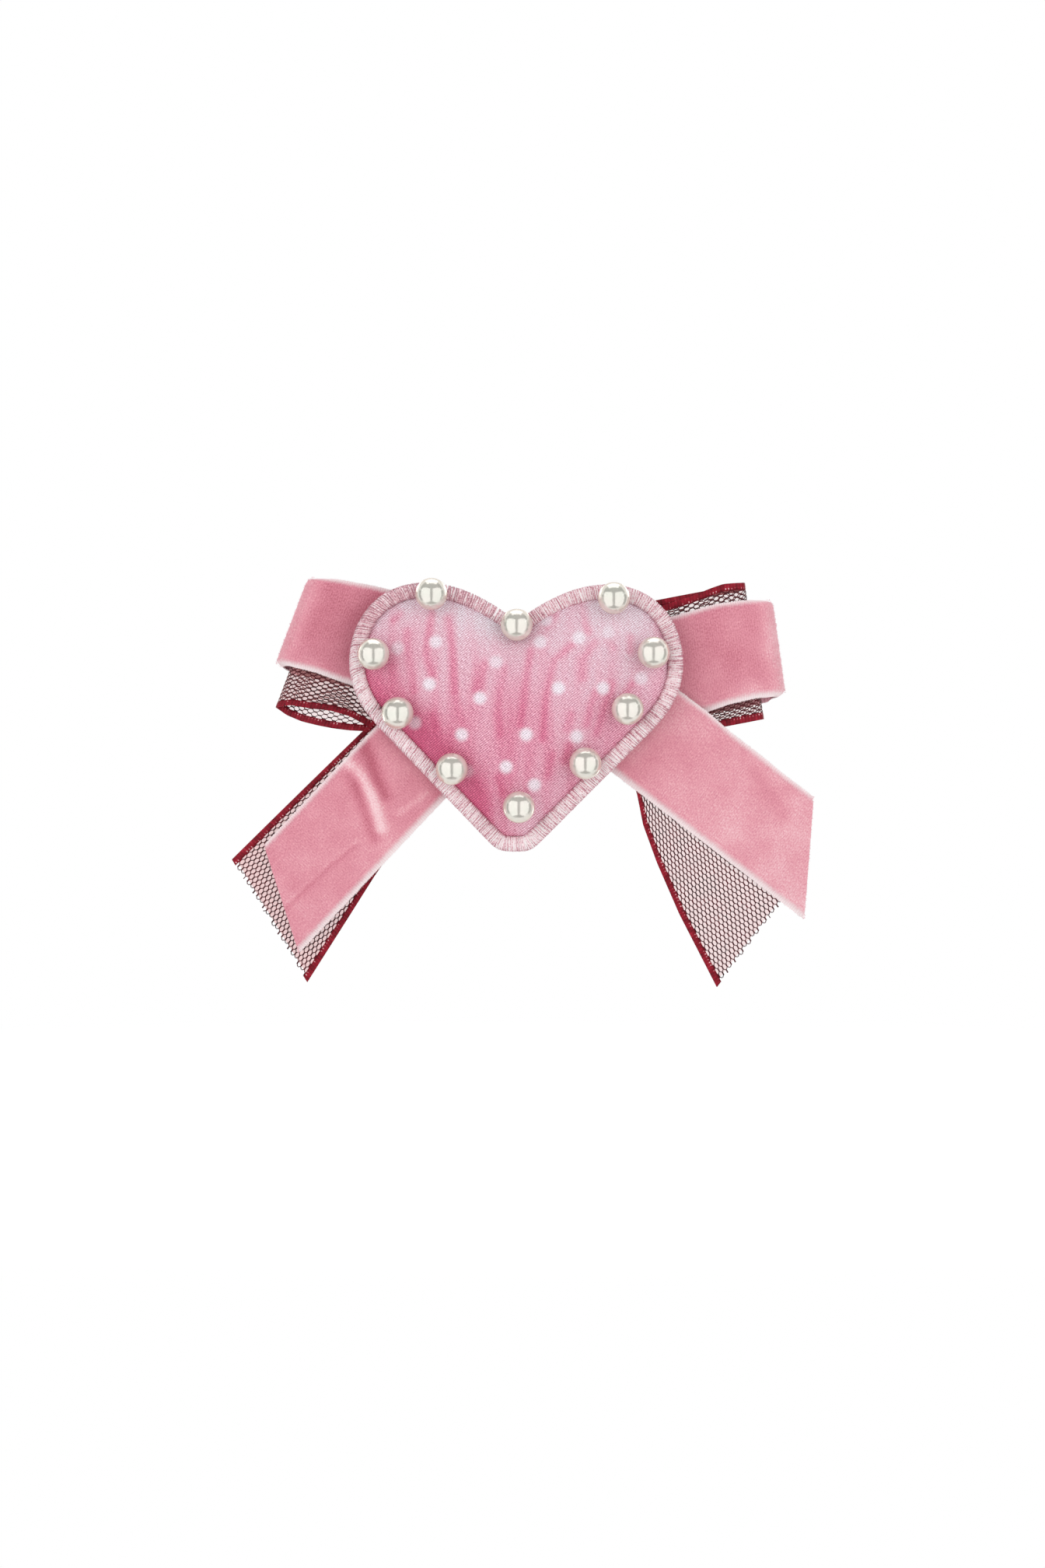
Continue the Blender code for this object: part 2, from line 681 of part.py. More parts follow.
class Tail:
    """A hanging end of ribbon with a slanting cut."""

    def __init__(self, side, shape, start_width, width, layer):
        start, self.length, fall, cut_angle = shape
        self.start = Vector(start)
        self.axis = Vector((side * math.cos(fall), -math.sin(fall)))
        self.across = Vector((side * math.sin(fall), math.cos(fall)))
        self.cut = math.tan(cut_angle)
        self.start_half = start_width / 2
        self.half = width / 2
        self.depth = DEPTH[layer]

    def surface(self, band):
        start_low, start_high = band_limits(band, self.start_half)
        end_low, end_high = band_limits(band, self.half)

        def place(along, across):
            end_width = end_low + (end_high - end_low) * across
            start_width = start_low + (start_high - start_low) * across
            out = along * (self.length - self.cut * end_width)
            width = start_width + (end_width - start_width) * along
            flat = self.start + self.axis * out + self.across * width
            return Vector((flat.x, self.depth + drape(flat.x, flat.y), flat.y))

        return place


def velvet(name, shape, steps):
    return ribbon(name, shape.surface("whole"), steps, VELVET_THICKNESS, VELVET)


def net(name, shape, steps):
    """The open net, and a woven edge along each side of it."""
    for band in ("upper", "lower"):
        ribbon(f"{name}_{band}_edge", shape.surface(band), steps, NET_THICKNESS, EDGE)
    return ribbon(name, shape.surface("middle"), steps, NET_THICKNESS, NET)


def left_ribbons():
    loop = (LEFT_LOOP_REACH, LEFT_LOOP_HEIGHT, LEFT_LOOP_TILT, LEFT_LOOP_SLANT, LEFT_LOOP_FLARE)
    start = (LEFT_TAIL_X, LEFT_TAIL_Z)
    net_start = (LEFT_NET_TAIL_X, LEFT_NET_TAIL_Z)
    tail = (start, LEFT_TAIL_LENGTH, LEFT_TAIL_FALL, LEFT_TAIL_CUT)
    net_tail = (net_start, LEFT_NET_TAIL_LENGTH, LEFT_NET_TAIL_FALL, LEFT_NET_TAIL_CUT)
    inner = (LEFT_NET_SETBACK, LEFT_NET_DROP, LEFT_NET_SAG)
    return side_ribbons(-1, "left", loop, inner, tail, net_tail)


def right_ribbons():
    loop = (RIGHT_LOOP_REACH, RIGHT_LOOP_HEIGHT, RIGHT_LOOP_TILT, RIGHT_LOOP_SLANT, RIGHT_LOOP_FLARE)
    start = (RIGHT_TAIL_X, RIGHT_TAIL_Z)
    net_start = (RIGHT_NET_TAIL_X, RIGHT_NET_TAIL_Z)
    tail = (start, RIGHT_TAIL_LENGTH, RIGHT_TAIL_FALL, RIGHT_TAIL_CUT)
    net_tail = (net_start, RIGHT_NET_TAIL_LENGTH, RIGHT_NET_TAIL_FALL, RIGHT_NET_TAIL_CUT)
    inner = (RIGHT_NET_SETBACK, RIGHT_NET_DROP, RIGHT_NET_SAG)
    return side_ribbons(1, "right", loop, inner, tail, net_tail)


def side_ribbons(side, word, loop, inner, tail, net_tail):
    """The four ribbons of one side: velvet loop and tail, net loop and tail."""
    velvet_loop = Loop(side, loop, VELVET_WIDTH, "velvet")
    net_loop = Loop(side, loop, NET_WIDTH, "net", *inner)
    velvet_tail = Tail(side, tail, VELVET_WIDTH, VELVET_WIDTH, f"velvet_tail_{word}")
    loose_net = Tail(side, net_tail, NET_GATHERED_WIDTH, NET_WIDTH, f"net_tail_{word}")
    return (
        velvet(f"velvet_loop_{word}", velvet_loop, LOOP_STEPS),
        net(f"net_loop_{word}", net_loop, LOOP_STEPS),
        velvet(f"velvet_tail_{word}", velvet_tail, TAIL_STEPS),
        net(f"net_tail_{word}", loose_net, TAIL_STEPS),
    )


def felt_pad():
    return box(
        "felt_pad",
        (-PAD_LENGTH / 2, PAD_BACK - PAD_THICKNESS, -PAD_WIDTH / 2),
        (PAD_LENGTH / 2, PAD_BACK, PAD_WIDTH / 2),
        FELT,
    )


def binding_stitch(word, side, layers):
    """A stitch through one side's ribbons, the felt and the heart's backing, knotted behind."""
    place = Matrix.Translation((side * STITCH_X, 0.0, STITCH_Z)) @ Matrix.Rotation(-math.pi / 2, 4, "X")
    front = DEPTH["backing"]
    knot = PAD_BACK + SEAT_GAP
    profile = [
        (0.0, knot + STITCH_KNOT),
        (STITCH_KNOT_RADIUS, knot + STITCH_KNOT),
        (STITCH_KNOT_RADIUS, knot),
        (STITCH_RADIUS, knot),
        (STITCH_RADIUS, front),
        (0.0, front),
    ]
    turned(f"binding_stitch_{word}", profile, place, THREAD)
    hole = rod(
        f"stitch hole {word}",
        STITCH_RADIUS + PIN_CLEARANCE,
        (side * STITCH_X, front - SEAT_GAP, STITCH_Z),
        (side * STITCH_X, knot + CUT_MARGIN, STITCH_Z),
        steps=SMALL_ROUND_STEPS,
    )
    make_cutter(hole)
    for layer in layers:
        cut(layer, hole)


# Heart


def heart_half():
    """The right half of the heart's outline, from cleft to tip, as one list of points."""
    half = HEART_WIDTH / 2
    lobe = HEART_LOBE_PITCH / 2
    flank_top = Vector((HEART_FLANK_TOP, HEART_FLANK_HEIGHT))
    flank_end = Vector((HEART_TIP_ROUND, HEART_TIP + HEART_TIP_RISE))
    flank = flank_end - flank_top
    cleft = Vector((0.0, HEART_CLEFT))
    lobe_top = Vector((lobe, HEART_LOBE_TOP))
    side = Vector((half, HEART_SIDE))
    # Each curve's start, the handle that leaves it and the handle that reaches the next start
    curves = (
        (cleft, cleft + CLEFT_HANDLE * (lobe_top - cleft), (LOBE_INNER_HANDLE * lobe, HEART_LOBE_TOP)),
        (
            lobe_top,
            (lobe + LOBE_OUTER_HANDLE * (half - lobe), HEART_LOBE_TOP),
            (half, HEART_SIDE + SIDE_UPPER_HANDLE * (HEART_LOBE_TOP - HEART_SIDE)),
        ),
        (
            side,
            (half, HEART_SIDE + SIDE_LOWER_HANDLE * (HEART_FLANK_HEIGHT - HEART_SIDE)),
            flank_top - FLANK_TOP_HANDLE * flank,
        ),
        (flank_top, flank_top + FLANK_HANDLE * flank, flank_end - FLANK_HANDLE * flank),
        (flank_end, flank_end + TIP_HANDLE * flank, (HEART_TIP_ROUND / 2, HEART_TIP)),
    )
    ends = [curve[0] for curve in curves[1:]] + [(0.0, HEART_TIP)]
    points = []
    for (start, leave, arrive), end in zip(curves, ends):
        for step in range(HEART_STEPS):
            t = step / HEART_STEPS
            weights = ((1 - t) ** 3, 3 * (1 - t) ** 2 * t, 3 * (1 - t) * t**2, t**3)
            knots = (start, leave, arrive, end)
            points.append(sum((w * Vector(knot) for w, knot in zip(weights, knots)), Vector((0.0, 0.0))))
    points.append(Vector((0.0, HEART_TIP)))
    return points


def heart_outline(inset):
    """The whole outline, clockwise from the cleft, moved in by this distance."""
    right = heart_half()
    points = right + [Vector((-p.x, p.y)) for p in right[-2:0:-1]]
    moved = []
    for index, point in enumerate(points):
        along = points[(index + 1) % len(points)] - points[index - 1]
        moved.append(point + Vector((along.y, -along.x)).normalized() * inset)
    return moved


def edge_place(side, share, inset):
    """A place in from the edge, at a share of the way round from the cleft to the tip."""
    half = heart_half()
    lengths = [(b - a).length for a, b in zip(half, half[1:])]
    left = share * sum(lengths)
    for index, length in enumerate(lengths):
        if left <= length:
            break
        left -= length
    along = (half[index + 1] - half[index]).normalized()
    inward = Vector((along.y, -along.x)) if share > 0 else Vector((0.0, -1.0))
    point = half[index] + along * left + inward * inset
    return Vector((side * point.x, point.y))


def dome_height(share):
    """Height of the padded heart, as a share of its puff, by the share of the way to its edge."""
    return (1 - share**2) ** DOME_FULLNESS


def dome(name, inset, base, puff):
    """An open dome over the heart's outline: its edge drawn in and up, ring by ring."""
    outline = heart_outline(inset)
    center = Vector((0.0, DOME_TOP))
    shape = bmesh.new()
    edge = bmesh.ops.create_circle(shape, segments=len(outline), radius=1.0)["verts"]
    for vert, point in zip(edge, outline):
        vert.co = (point.x, base, point.y)
    ring = shape.edges[:]
    last = 1.0
    for share in DOME_SHARES + (0.0,):
        drawn = bmesh.ops.extrude_edge_only(shape, edges=ring)["geom"]
        ring = [item for item in drawn if isinstance(item, bmesh.types.BMEdge)]
        ring_verts = [item for item in drawn if isinstance(item, bmesh.types.BMVert)]
        for vert in ring_verts:
            flat = center + (Vector((vert.co.x, vert.co.z)) - center) * (share / last)
            vert.co = (flat.x, base - puff * dome_height(share), flat.y)
        last = share
    bmesh.ops.remove_doubles(shape, verts=shape.verts, dist=WELD_DISTANCE)
    bmesh.ops.recalc_face_normals(shape, faces=shape.faces)
    return shape


def heart(parent):
    border_in = HEART_BORDER + SEAT_GAP
    cover_base = HEART_SEAT - COVER_THICKNESS / 2
    backing = flat_solid(
        "heart_backing",
        [tuple(p) for p in heart_outline(border_in)],
        BACKING_THICKNESS,
        Matrix.Translation((0.0, DEPTH["backing"], 0.0)) @ FACING,
        FELT,
    )
    cover_shape = dome("heart_cover", border_in + COVER_THICKNESS / 2, cover_base, HEART_PUFF)
    cover = add_object("heart_cover", mesh_from(cover_shape, "heart_cover"), SATIN)
    cover.data.shade_smooth()
    skin = cover.modifiers.new("thickness", "SOLIDIFY")
    skin.thickness = COVER_THICKNESS
    skin.offset = 0.0
    padding_in = border_in + COVER_THICKNESS + SEAT_GAP
    padding_puff = HEART_PUFF - COVER_THICKNESS - SEAT_GAP
    padding_shape = dome("heart_padding", padding_in, HEART_SEAT, padding_puff)
    rim = [item for item in padding_shape.edges if item.is_boundary]
    bmesh.ops.contextual_create(padding_shape, geom=rim)
    bmesh.ops.recalc_face_normals(padding_shape, faces=padding_shape.faces)
    padding = add_object("heart_padding", mesh_from(padding_shape, "heart_padding"), FILLING)
    padding.data.shade_smooth()
    border = heart_border()
    for piece in (backing, cover, padding, border):
        piece.parent = parent
    return backing, cover, padding, border


def heart_border():
    """The embroidered edge, a round bead of thread along the outline."""
    curve = bpy.data.curves.new("heart_border", "CURVE")
    curve.dimensions = "3D"
    curve.bevel_depth = HEART_BORDER / 2
    curve.bevel_resolution = BORDER_RESOLUTION
    spline = curve.splines.new("POLY")
    path = heart_outline(HEART_BORDER / 2)
    spline.points.add(len(path) - 1)
    for point, flat in zip(spline.points, path):
        point.co = (flat.x, HEART_BACK - HEART_BORDER / 2, flat.y, 1.0)
    spline.use_cyclic_u = True
    border = solid_from_curve("heart_border", curve, Matrix(), EMBROIDERY)
    border.data.shade_smooth()
    return border


def pearls(parent, backing, cover, padding, border):
    """Round beads seated on the cover or the border, each on a tack from behind."""
    bpy.context.view_layer.update()
    graph = bpy.context.evaluated_depsgraph_get()
    seats = [BVHTree.FromObject(piece, graph) for piece in (cover, border)]
    radius = PEARL_DIAMETER / 2
    for number, (side, share, inset) in enumerate(PEARL_PLACES, 1):
        flat = edge_place(side, share, inset)
        center = Vector((flat.x, HEART_BACK - HEART_PUFF - 2 * PEARL_DIAMETER, flat.y))
        for _ in range(SEAT_TRIES):
            nearest = min(tree.find_nearest(center)[3] for tree in seats)
            center.y += nearest - radius - SEAT_GAP
        holed = [border] if inset < HEART_BORDER else [cover, padding, backing]
        pearl_and_tack(number, center, holed, parent)


def pearl_and_tack(number, center, holed, parent):
    shape = bmesh.new()
    radius = PEARL_DIAMETER / 2
    bmesh.ops.create_uvsphere(shape, u_segments=PEARL_STEPS, v_segments=PEARL_RINGS, radius=radius)
    bmesh.ops.rotate(shape, matrix=Matrix.Rotation(math.pi / 2, 3, "X"), verts=shape.verts)
    pearl = add_object(f"pearl_{number}", mesh_from(shape, f"pearl_{number}"), PEARL)
    pearl.data.shade_smooth()
    pearl.location = center
    flange_front = HEART_BACK + SEAT_GAP
    flange_back = flange_front + TACK_FLANGE
    profile = [
        (0.0, flange_back),
        (TACK_FLANGE_RADIUS, flange_back),
        (TACK_FLANGE_RADIUS, flange_front),
        (TACK_RADIUS, flange_front),
        (TACK_RADIUS, center.y),
        (0.0, center.y),
    ]
    place = Matrix.Translation((center.x, 0.0, center.z)) @ Matrix.Rotation(-math.pi / 2, 4, "X")
    tack = turned(f"pearl_tack_{number}", profile, place, STEEL)
    hole = rod(
        f"tack hole {number}",
        TACK_RADIUS + PIN_CLEARANCE,
        (center.x, center.y - SEAT_GAP, center.z),
        (center.x, HEART_BACK + CUT_MARGIN, center.z),
        steps=SMALL_ROUND_STEPS,
    )
    make_cutter(hole)
    for piece in holed + [pearl]:
        cut(piece, hole)
    for piece in (pearl, tack, hole):
        piece.parent = parent


def main():
    hinge_bore = base_plate()
    spring_bar()
    clasp_arm(hinge_bore)
    hinge_pin()
    latch()
    pad = felt_pad()
    patch = bpy.data.objects.new("heart", None)
    patch.rotation_euler = (0.0, HEART_TILT, 0.0)
    PARTS.objects.link(patch)
    backing, cover, padding, border = heart(patch)
    pearls(patch, backing, cover, padding, border)
    binding_stitch("left", -1, (*left_ribbons(), pad, backing))
    binding_stitch("right", 1, (*right_ribbons(), pad, backing))


main()
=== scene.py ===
"""Barrette: a velvet and net ribbon bow with a padded satin heart and pearls, on a steel spring clip.

Lengths are in millimetres until a mesh is written, which is in metres, in the part's own frame.
"""

import math
from contextlib import contextmanager

import bpy
import numpy as np
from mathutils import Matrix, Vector


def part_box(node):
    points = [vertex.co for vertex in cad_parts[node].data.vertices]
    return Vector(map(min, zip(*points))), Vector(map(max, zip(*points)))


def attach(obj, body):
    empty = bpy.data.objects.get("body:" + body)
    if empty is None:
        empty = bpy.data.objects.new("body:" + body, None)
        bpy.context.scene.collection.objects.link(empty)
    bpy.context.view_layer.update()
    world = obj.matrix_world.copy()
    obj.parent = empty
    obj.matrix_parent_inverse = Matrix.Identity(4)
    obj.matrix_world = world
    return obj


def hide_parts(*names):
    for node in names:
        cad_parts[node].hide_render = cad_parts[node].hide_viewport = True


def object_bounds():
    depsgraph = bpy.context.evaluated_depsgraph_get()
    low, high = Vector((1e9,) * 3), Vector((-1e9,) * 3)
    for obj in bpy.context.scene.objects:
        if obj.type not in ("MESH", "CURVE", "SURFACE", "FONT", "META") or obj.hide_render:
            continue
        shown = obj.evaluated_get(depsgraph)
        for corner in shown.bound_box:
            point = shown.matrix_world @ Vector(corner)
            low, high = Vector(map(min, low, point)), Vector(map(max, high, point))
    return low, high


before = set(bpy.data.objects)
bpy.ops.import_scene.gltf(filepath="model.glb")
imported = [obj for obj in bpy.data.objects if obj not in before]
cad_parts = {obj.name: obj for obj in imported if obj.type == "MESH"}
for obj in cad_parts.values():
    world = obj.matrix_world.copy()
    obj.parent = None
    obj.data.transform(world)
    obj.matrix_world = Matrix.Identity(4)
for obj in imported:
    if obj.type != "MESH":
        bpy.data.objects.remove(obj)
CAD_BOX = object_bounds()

MM = 0.001
ROOT = "bow_and_base"
# Scale of a wave texture whose bands are one metre apart
WAVE = 0.314
draw = np.random.default_rng(11)

# Ribbons, as they were cut
VELVET_WIDTH = 25.0
VELVET_PILE = 0.9
VELVET_GROUND = 0.3
SELVEDGE = 0.9
# The pile starts this far in from a side and is full this much farther in
PILE_START = 0.6
PILE_RISE = 0.9
VELVET_STEPS = 50
# Loose fibres: radius, how far they stray from their lean, and how many there are along the selvedges, on a
# fold and at a cut end. Weft and pile each have a shortest and a longest
FIBRE = 0.045
FIBRE_STRAY = 0.35
FIBRE_TAPER = (1.0, 0.35)
FIBRES_PER_MM = 7.0
FIBRES_PER_FOLD = 12.0
FIBRES_PER_END = 16.0
WEFT_LENGTHS = (0.05, 0.3)
FOLD_PILE_LENGTHS = (0.15, 0.45)
END_PILE_LENGTHS = (0.12, 0.45)
FOLD_PILE_INSET = 0.7
# Where fibres are rooted: the selvedge below a ribbon's middle, the pile above it
SELVEDGE_DEPTH = -0.3
PILE_DEPTH = 0.4
NET_WIDTH = 34.5
NET_EDGE = 1.62
NET_BAND = 1.5
NET_GATHERED = 18.0
LOOP_INNER = 5.0
FOLD = 3.0
FLARE_START = 42.5
FLARE_EASE = 4.0
DRAPE_START = 42.0
DRAPE_RADIUS = 160.0
# Net cells: pitch across the ribbon and between rows along it
CELL_ACROSS = 1.21
CELL_ROW = 1.306
NET_THREAD = 0.122
# Two threads lie side by side, this share of a thread's radius from their middle
NET_TWIN = 0.6
# The net runs this far under each band
NET_UNDER = 0.2
BAND_THICKNESS = 0.4
BAND_ROUNDING = 0.12
BAND_STEPS = 4
WARP_RADIUS = 0.13
VOILE_INSET = 0.4
VOILE_SHORT = 1.0
VOILE_STEPS = 16
# Edges sharper than these stay crisp in shading, or are bevelled
CRISP = math.radians(50.0)
BEVELLED = math.radians(40.0)
# Middle of each layer, along Y
DEPTH = {
    "velvet_loop": (-11.45, -8.85),
    "net_loop": (-10.5, -9.8),
    "net_tail_left": -12.4,
    "net_tail_right": -13.1,
    "velvet_tail_right": -14.05,
    "velvet_tail_left": -15.25,
    "backing": -17.5,
}
# Heart
HEART_BACK = -16.9
HEART_BORDER = 4.0
HEART_TILT = math.radians(0.6)
HEART_SEAT = -18.4
HEART_PUFF = 8.6
DOME_TOP = -6.0
PEARL_RADIUS = 4.0


# Colours and nodes


def linear(hexed):
    """An sRGB hex colour as linear light."""
    parts = [int(hexed[i : i + 2], 16) / 255 for i in (1, 3, 5)]
    return tuple(c / 12.92 if c <= 0.04045 else ((c + 0.055) / 1.055) ** 2.4 for c in parts) + (1.0,)


def feed(tree, node, links):
    """Sets a node's inputs to plain values, or links them to sockets or to other nodes' first outputs."""
    for key, value in links.items():
        if isinstance(value, bpy.types.Node):
            value = value.outputs[0]
        if isinstance(value, bpy.types.NodeSocket):
            tree.links.new(value, node.inputs[key])
        else:
            node.inputs[key].default_value = value


def add(tree, kind, links=None, stops=(), **settings):
    """Adds one node: links are its inputs, stops a ramp's positions and colours, settings its properties."""
    made = tree.nodes.new("ShaderNode" + kind)
    for name, value in settings.items():
        setattr(made, name, value)
    feed(tree, made, links or {})
    for position, color in stops[2:]:
        made.color_ramp.elements.new(position)
    for element, (position, color) in zip(made.color_ramp.elements if stops else (), stops):
        element.position = position
        element.color = linear(color)
    return made


def new_finish(name, **values):
    """A material with its shader's plain values set, and its node tree and shader."""
    finish = bpy.data.materials.new(name)
    finish.use_nodes = True
    tree = finish.node_tree
    shader = tree.nodes["Principled BSDF"]
    feed(tree, shader, {key.replace("_", " "): value for key, value in values.items()})
    return finish, tree, shader


def velvet_finish():
    """Velvet: short upright pile that scatters light at grazing angles, mottled where it has been brushed.
    The woven selvedges carry no pile and show pale threads."""
    sheen = {"Sheen_Weight": 0.55, "Sheen_Roughness": 0.4, "Sheen_Tint": linear("#FFDDE3")}
    finish, tree, shader = new_finish("short pile velvet", Roughness=0.92, Specular_IOR_Level=0.15, **sheen)
    place = add(tree, "TexCoord").outputs
    patches = {"Vector": place["Object"], "Scale": 1 / (9 * MM), "Detail": 4.0, "Roughness": 0.55}
    brushed = add(tree, "TexNoise", patches)
    # Tufts stand in rows across the ribbon, 0.58 mm apart
    spread = add(tree, "Mapping", {"Vector": place["UV"], "Scale": (1 / (0.36 * MM), 1 / (0.5 * MM), 1.0)})
    loose = add(tree, "TexNoise", {"Vector": spread, "Scale": 1.0, "Detail": 2.0, "Roughness": 0.6})
    ragged = {"Vector": place["UV"], "Scale": WAVE / (0.58 * MM), "Distortion": 3.0, "Detail": 2.0}
    rows = add(tree, "TexWave", ragged, bands_direction="X")
    tufts = add(tree, "Math", {0: rows.outputs[1], 1: 0.08, 2: loose}, operation="MULTIPLY_ADD")
    # This attribute carries painted light from each ribbon's shape: painted sheen at a loop's fold, painted
    # highlight and shade along creases, painted shade near the heart
    nap_and_painted_light = add(tree, "Attribute", attribute_name="nap_and_painted_light")
    mottle = add(tree, "Math", {0: brushed, 1: 0.36, 2: nap_and_painted_light.outputs["Fac"]}, operation="MULTIPLY_ADD")
    grain = add(tree, "Math", {0: tufts, 1: 0.66, 2: mottle}, operation="MULTIPLY_ADD")
    tones = ((0.24, "#BC6476"), (0.48, "#DA8A9A"), (0.64, "#E8A1AE"), (0.9, "#FAD5DA"))
    color = add(tree, "ValToRGB", {0: grain}, tones)
    uv = add(tree, "SeparateXYZ", {0: place["UV"]}).outputs
    aside = add(tree, "Math", {0: uv[1]}, operation="ABSOLUTE")
    bare = VELVET_WIDTH / 2 - SELVEDGE
    # The pile leans unevenly over the selvedge, and less so along the lower side
    lower = add(tree, "Math", {0: uv[1], 1: 0.0}, operation="LESS_THAN")
    shown = add(tree, "Math", {0: lower, 1: 0.5 * MM, 2: aside}, operation="MULTIPLY_ADD")
    combed = add(tree, "Mapping", {"Vector": place["UV"], "Scale": (1 / (0.24 * MM), 1 / (1.2 * MM), 1.0)})
    stray = add(tree, "TexNoise", {"Vector": combed, "Scale": 1.0, "Detail": 3.0})
    covered = add(tree, "Math", {0: stray, 1: 1.3 * MM, 2: shown}, operation="MULTIPLY_ADD")
    fade = {0: covered, 1: bare * MM, 2: (bare + 1.7) * MM, 4: 0.9}
    selvedge = add(tree, "MapRange", fade, interpolation_type="SMOOTHSTEP")
    # Weft turns at the selvedge every 0.6 mm
    turns = add(tree, "TexWave", {"Vector": place["UV"], "Scale": WAVE / (0.6 * MM)}, bands_direction="X")
    pale = add(tree, "ValToRGB", {0: turns.outputs[1]}, ((0.0, "#F0DDE0"), (0.6, "#F6ECEC")))
    mixed = add(tree, "Mix", {0: selvedge, 6: color, 7: pale}, data_type="RGBA")
    flatter = add(tree, "Math", {0: turns.outputs[1], 1: 0.2}, operation="MULTIPLY")
    relief = add(tree, "Mix", {0: selvedge, 2: tufts, 3: flatter}, data_type="FLOAT")
    bump = add(tree, "Bump", {"Strength": 0.6, "Distance": 0.15 * MM, "Height": relief})
    feed(tree, shader, {"Base Color": mixed.outputs[2], "Normal": bump})
    return finish


def mottled_finish(name, patch, low, high, spread, **values):
    """Thread or fibre whose shade shifts over patches of this many millimetres."""
    finish, tree, shader = new_finish(name, **values)
    place = add(tree, "TexCoord").outputs["Object"]
    shade = add(tree, "TexNoise", {"Vector": place, "Scale": 1 / (patch * MM), "Detail": 2.0})
    color = add(tree, "ValToRGB", {0: shade}, ((0.5 - spread, low), (0.5 + spread, high)))
    feed(tree, shader, {"Base Color": color})
    return finish


def ground_finish():
    """The plain woven back of the velvet ribbon."""
    finish, tree, shader = new_finish("velvet ground cloth", Roughness=0.75, Sheen_Weight=0.2)
    uv = add(tree, "TexCoord").outputs["UV"]
    # Plain weave at 0.45 mm
    weave = add(tree, "TexChecker", {"Vector": uv, "Scale": 1 / (0.45 * MM)})
    color = add(tree, "ValToRGB", {0: weave.outputs[1]}, ((0.0, "#C98795"), (1.0, "#DDA3AE")))
    bump = add(tree, "Bump", {"Strength": 0.4, "Distance": 0.1 * MM, "Height": weave.outputs[1]})
    feed(tree, shader, {"Base Color": color, "Normal": bump})
    return finish


def sheer_finish(name, cover):
    """Sheer pink voile in the net's own plane: mostly see-through, so it only tints the open cells."""
    finish, tree, shader = new_finish(name, Base_Color=linear("#E9A2A0"), Roughness=0.8, Specular_IOR_Level=0.1)
    uv = add(tree, "SeparateXYZ", {0: add(tree, "TexCoord").outputs["UV"]}).outputs
    aside = add(tree, "Math", {0: uv[1]}, operation="ABSOLUTE")
    inside = NET_WIDTH / 2 - NET_EDGE
    covered = add(tree, "MapRange", {0: aside, 1: inside * MM, 2: (inside + 0.1) * MM, 3: cover, 4: 0.0})
    feed(tree, shader, {"Alpha": covered})
    return finish


def edge_finish():
    """Burgundy satin woven edge: deep red with faint ribs, and here and there a pale loop along its inner side."""
    finish, tree, shader = new_finish("burgundy woven satin", Roughness=0.5, Specular_IOR_Level=0.2)
    place = add(tree, "TexCoord").outputs
    # Ribs every 0.8 mm
    ribs = add(tree, "TexWave", {"Vector": place["UV"], "Scale": WAVE / (0.8 * MM)}, bands_direction="X")
    shade = add(tree, "TexNoise", {"Vector": place["Object"], "Scale": 1 / (1.6 * MM), "Detail": 3.0})
    tone = add(tree, "Math", {0: ribs.outputs[1], 1: 0.16, 2: shade}, operation="MULTIPLY_ADD")
    tones = ((0.3, "#5B0714"), (0.55, "#840D22"), (0.75, "#9D152C"), (0.95, "#B63A4D"))
    color = add(tree, "ValToRGB", {0: tone}, tones)
    uv = add(tree, "SeparateXYZ", {0: place["UV"]}).outputs
    aside = add(tree, "Math", {0: uv[1]}, operation="ABSOLUTE")
    inner = NET_WIDTH / 2 - NET_BAND
    near = add(tree, "MapRange", {0: aside, 1: (inner + 0.2) * MM, 2: (inner + 0.45) * MM, 3: 1.0, 4: 0.0})
    uneven = add(tree, "Math", {0: shade, 1: 2.2, 2: ribs.outputs[1]}, operation="MULTIPLY_ADD")
    crest = add(tree, "MapRange", {0: uneven, 1: 2.0, 2: 2.35, 4: 0.85})
    loops = add(tree, "Math", {0: near, 1: crest}, operation="MULTIPLY")
    looped = add(tree, "Mix", {0: loops, 6: color, 7: linear("#F2D3D5")}, data_type="RGBA")
    bump = add(tree, "Bump", {"Strength": 0.4, "Distance": 0.1 * MM, "Height": tone})
    feed(tree, shader, {"Base Color": looped.outputs[2], "Normal": bump})
    return finish


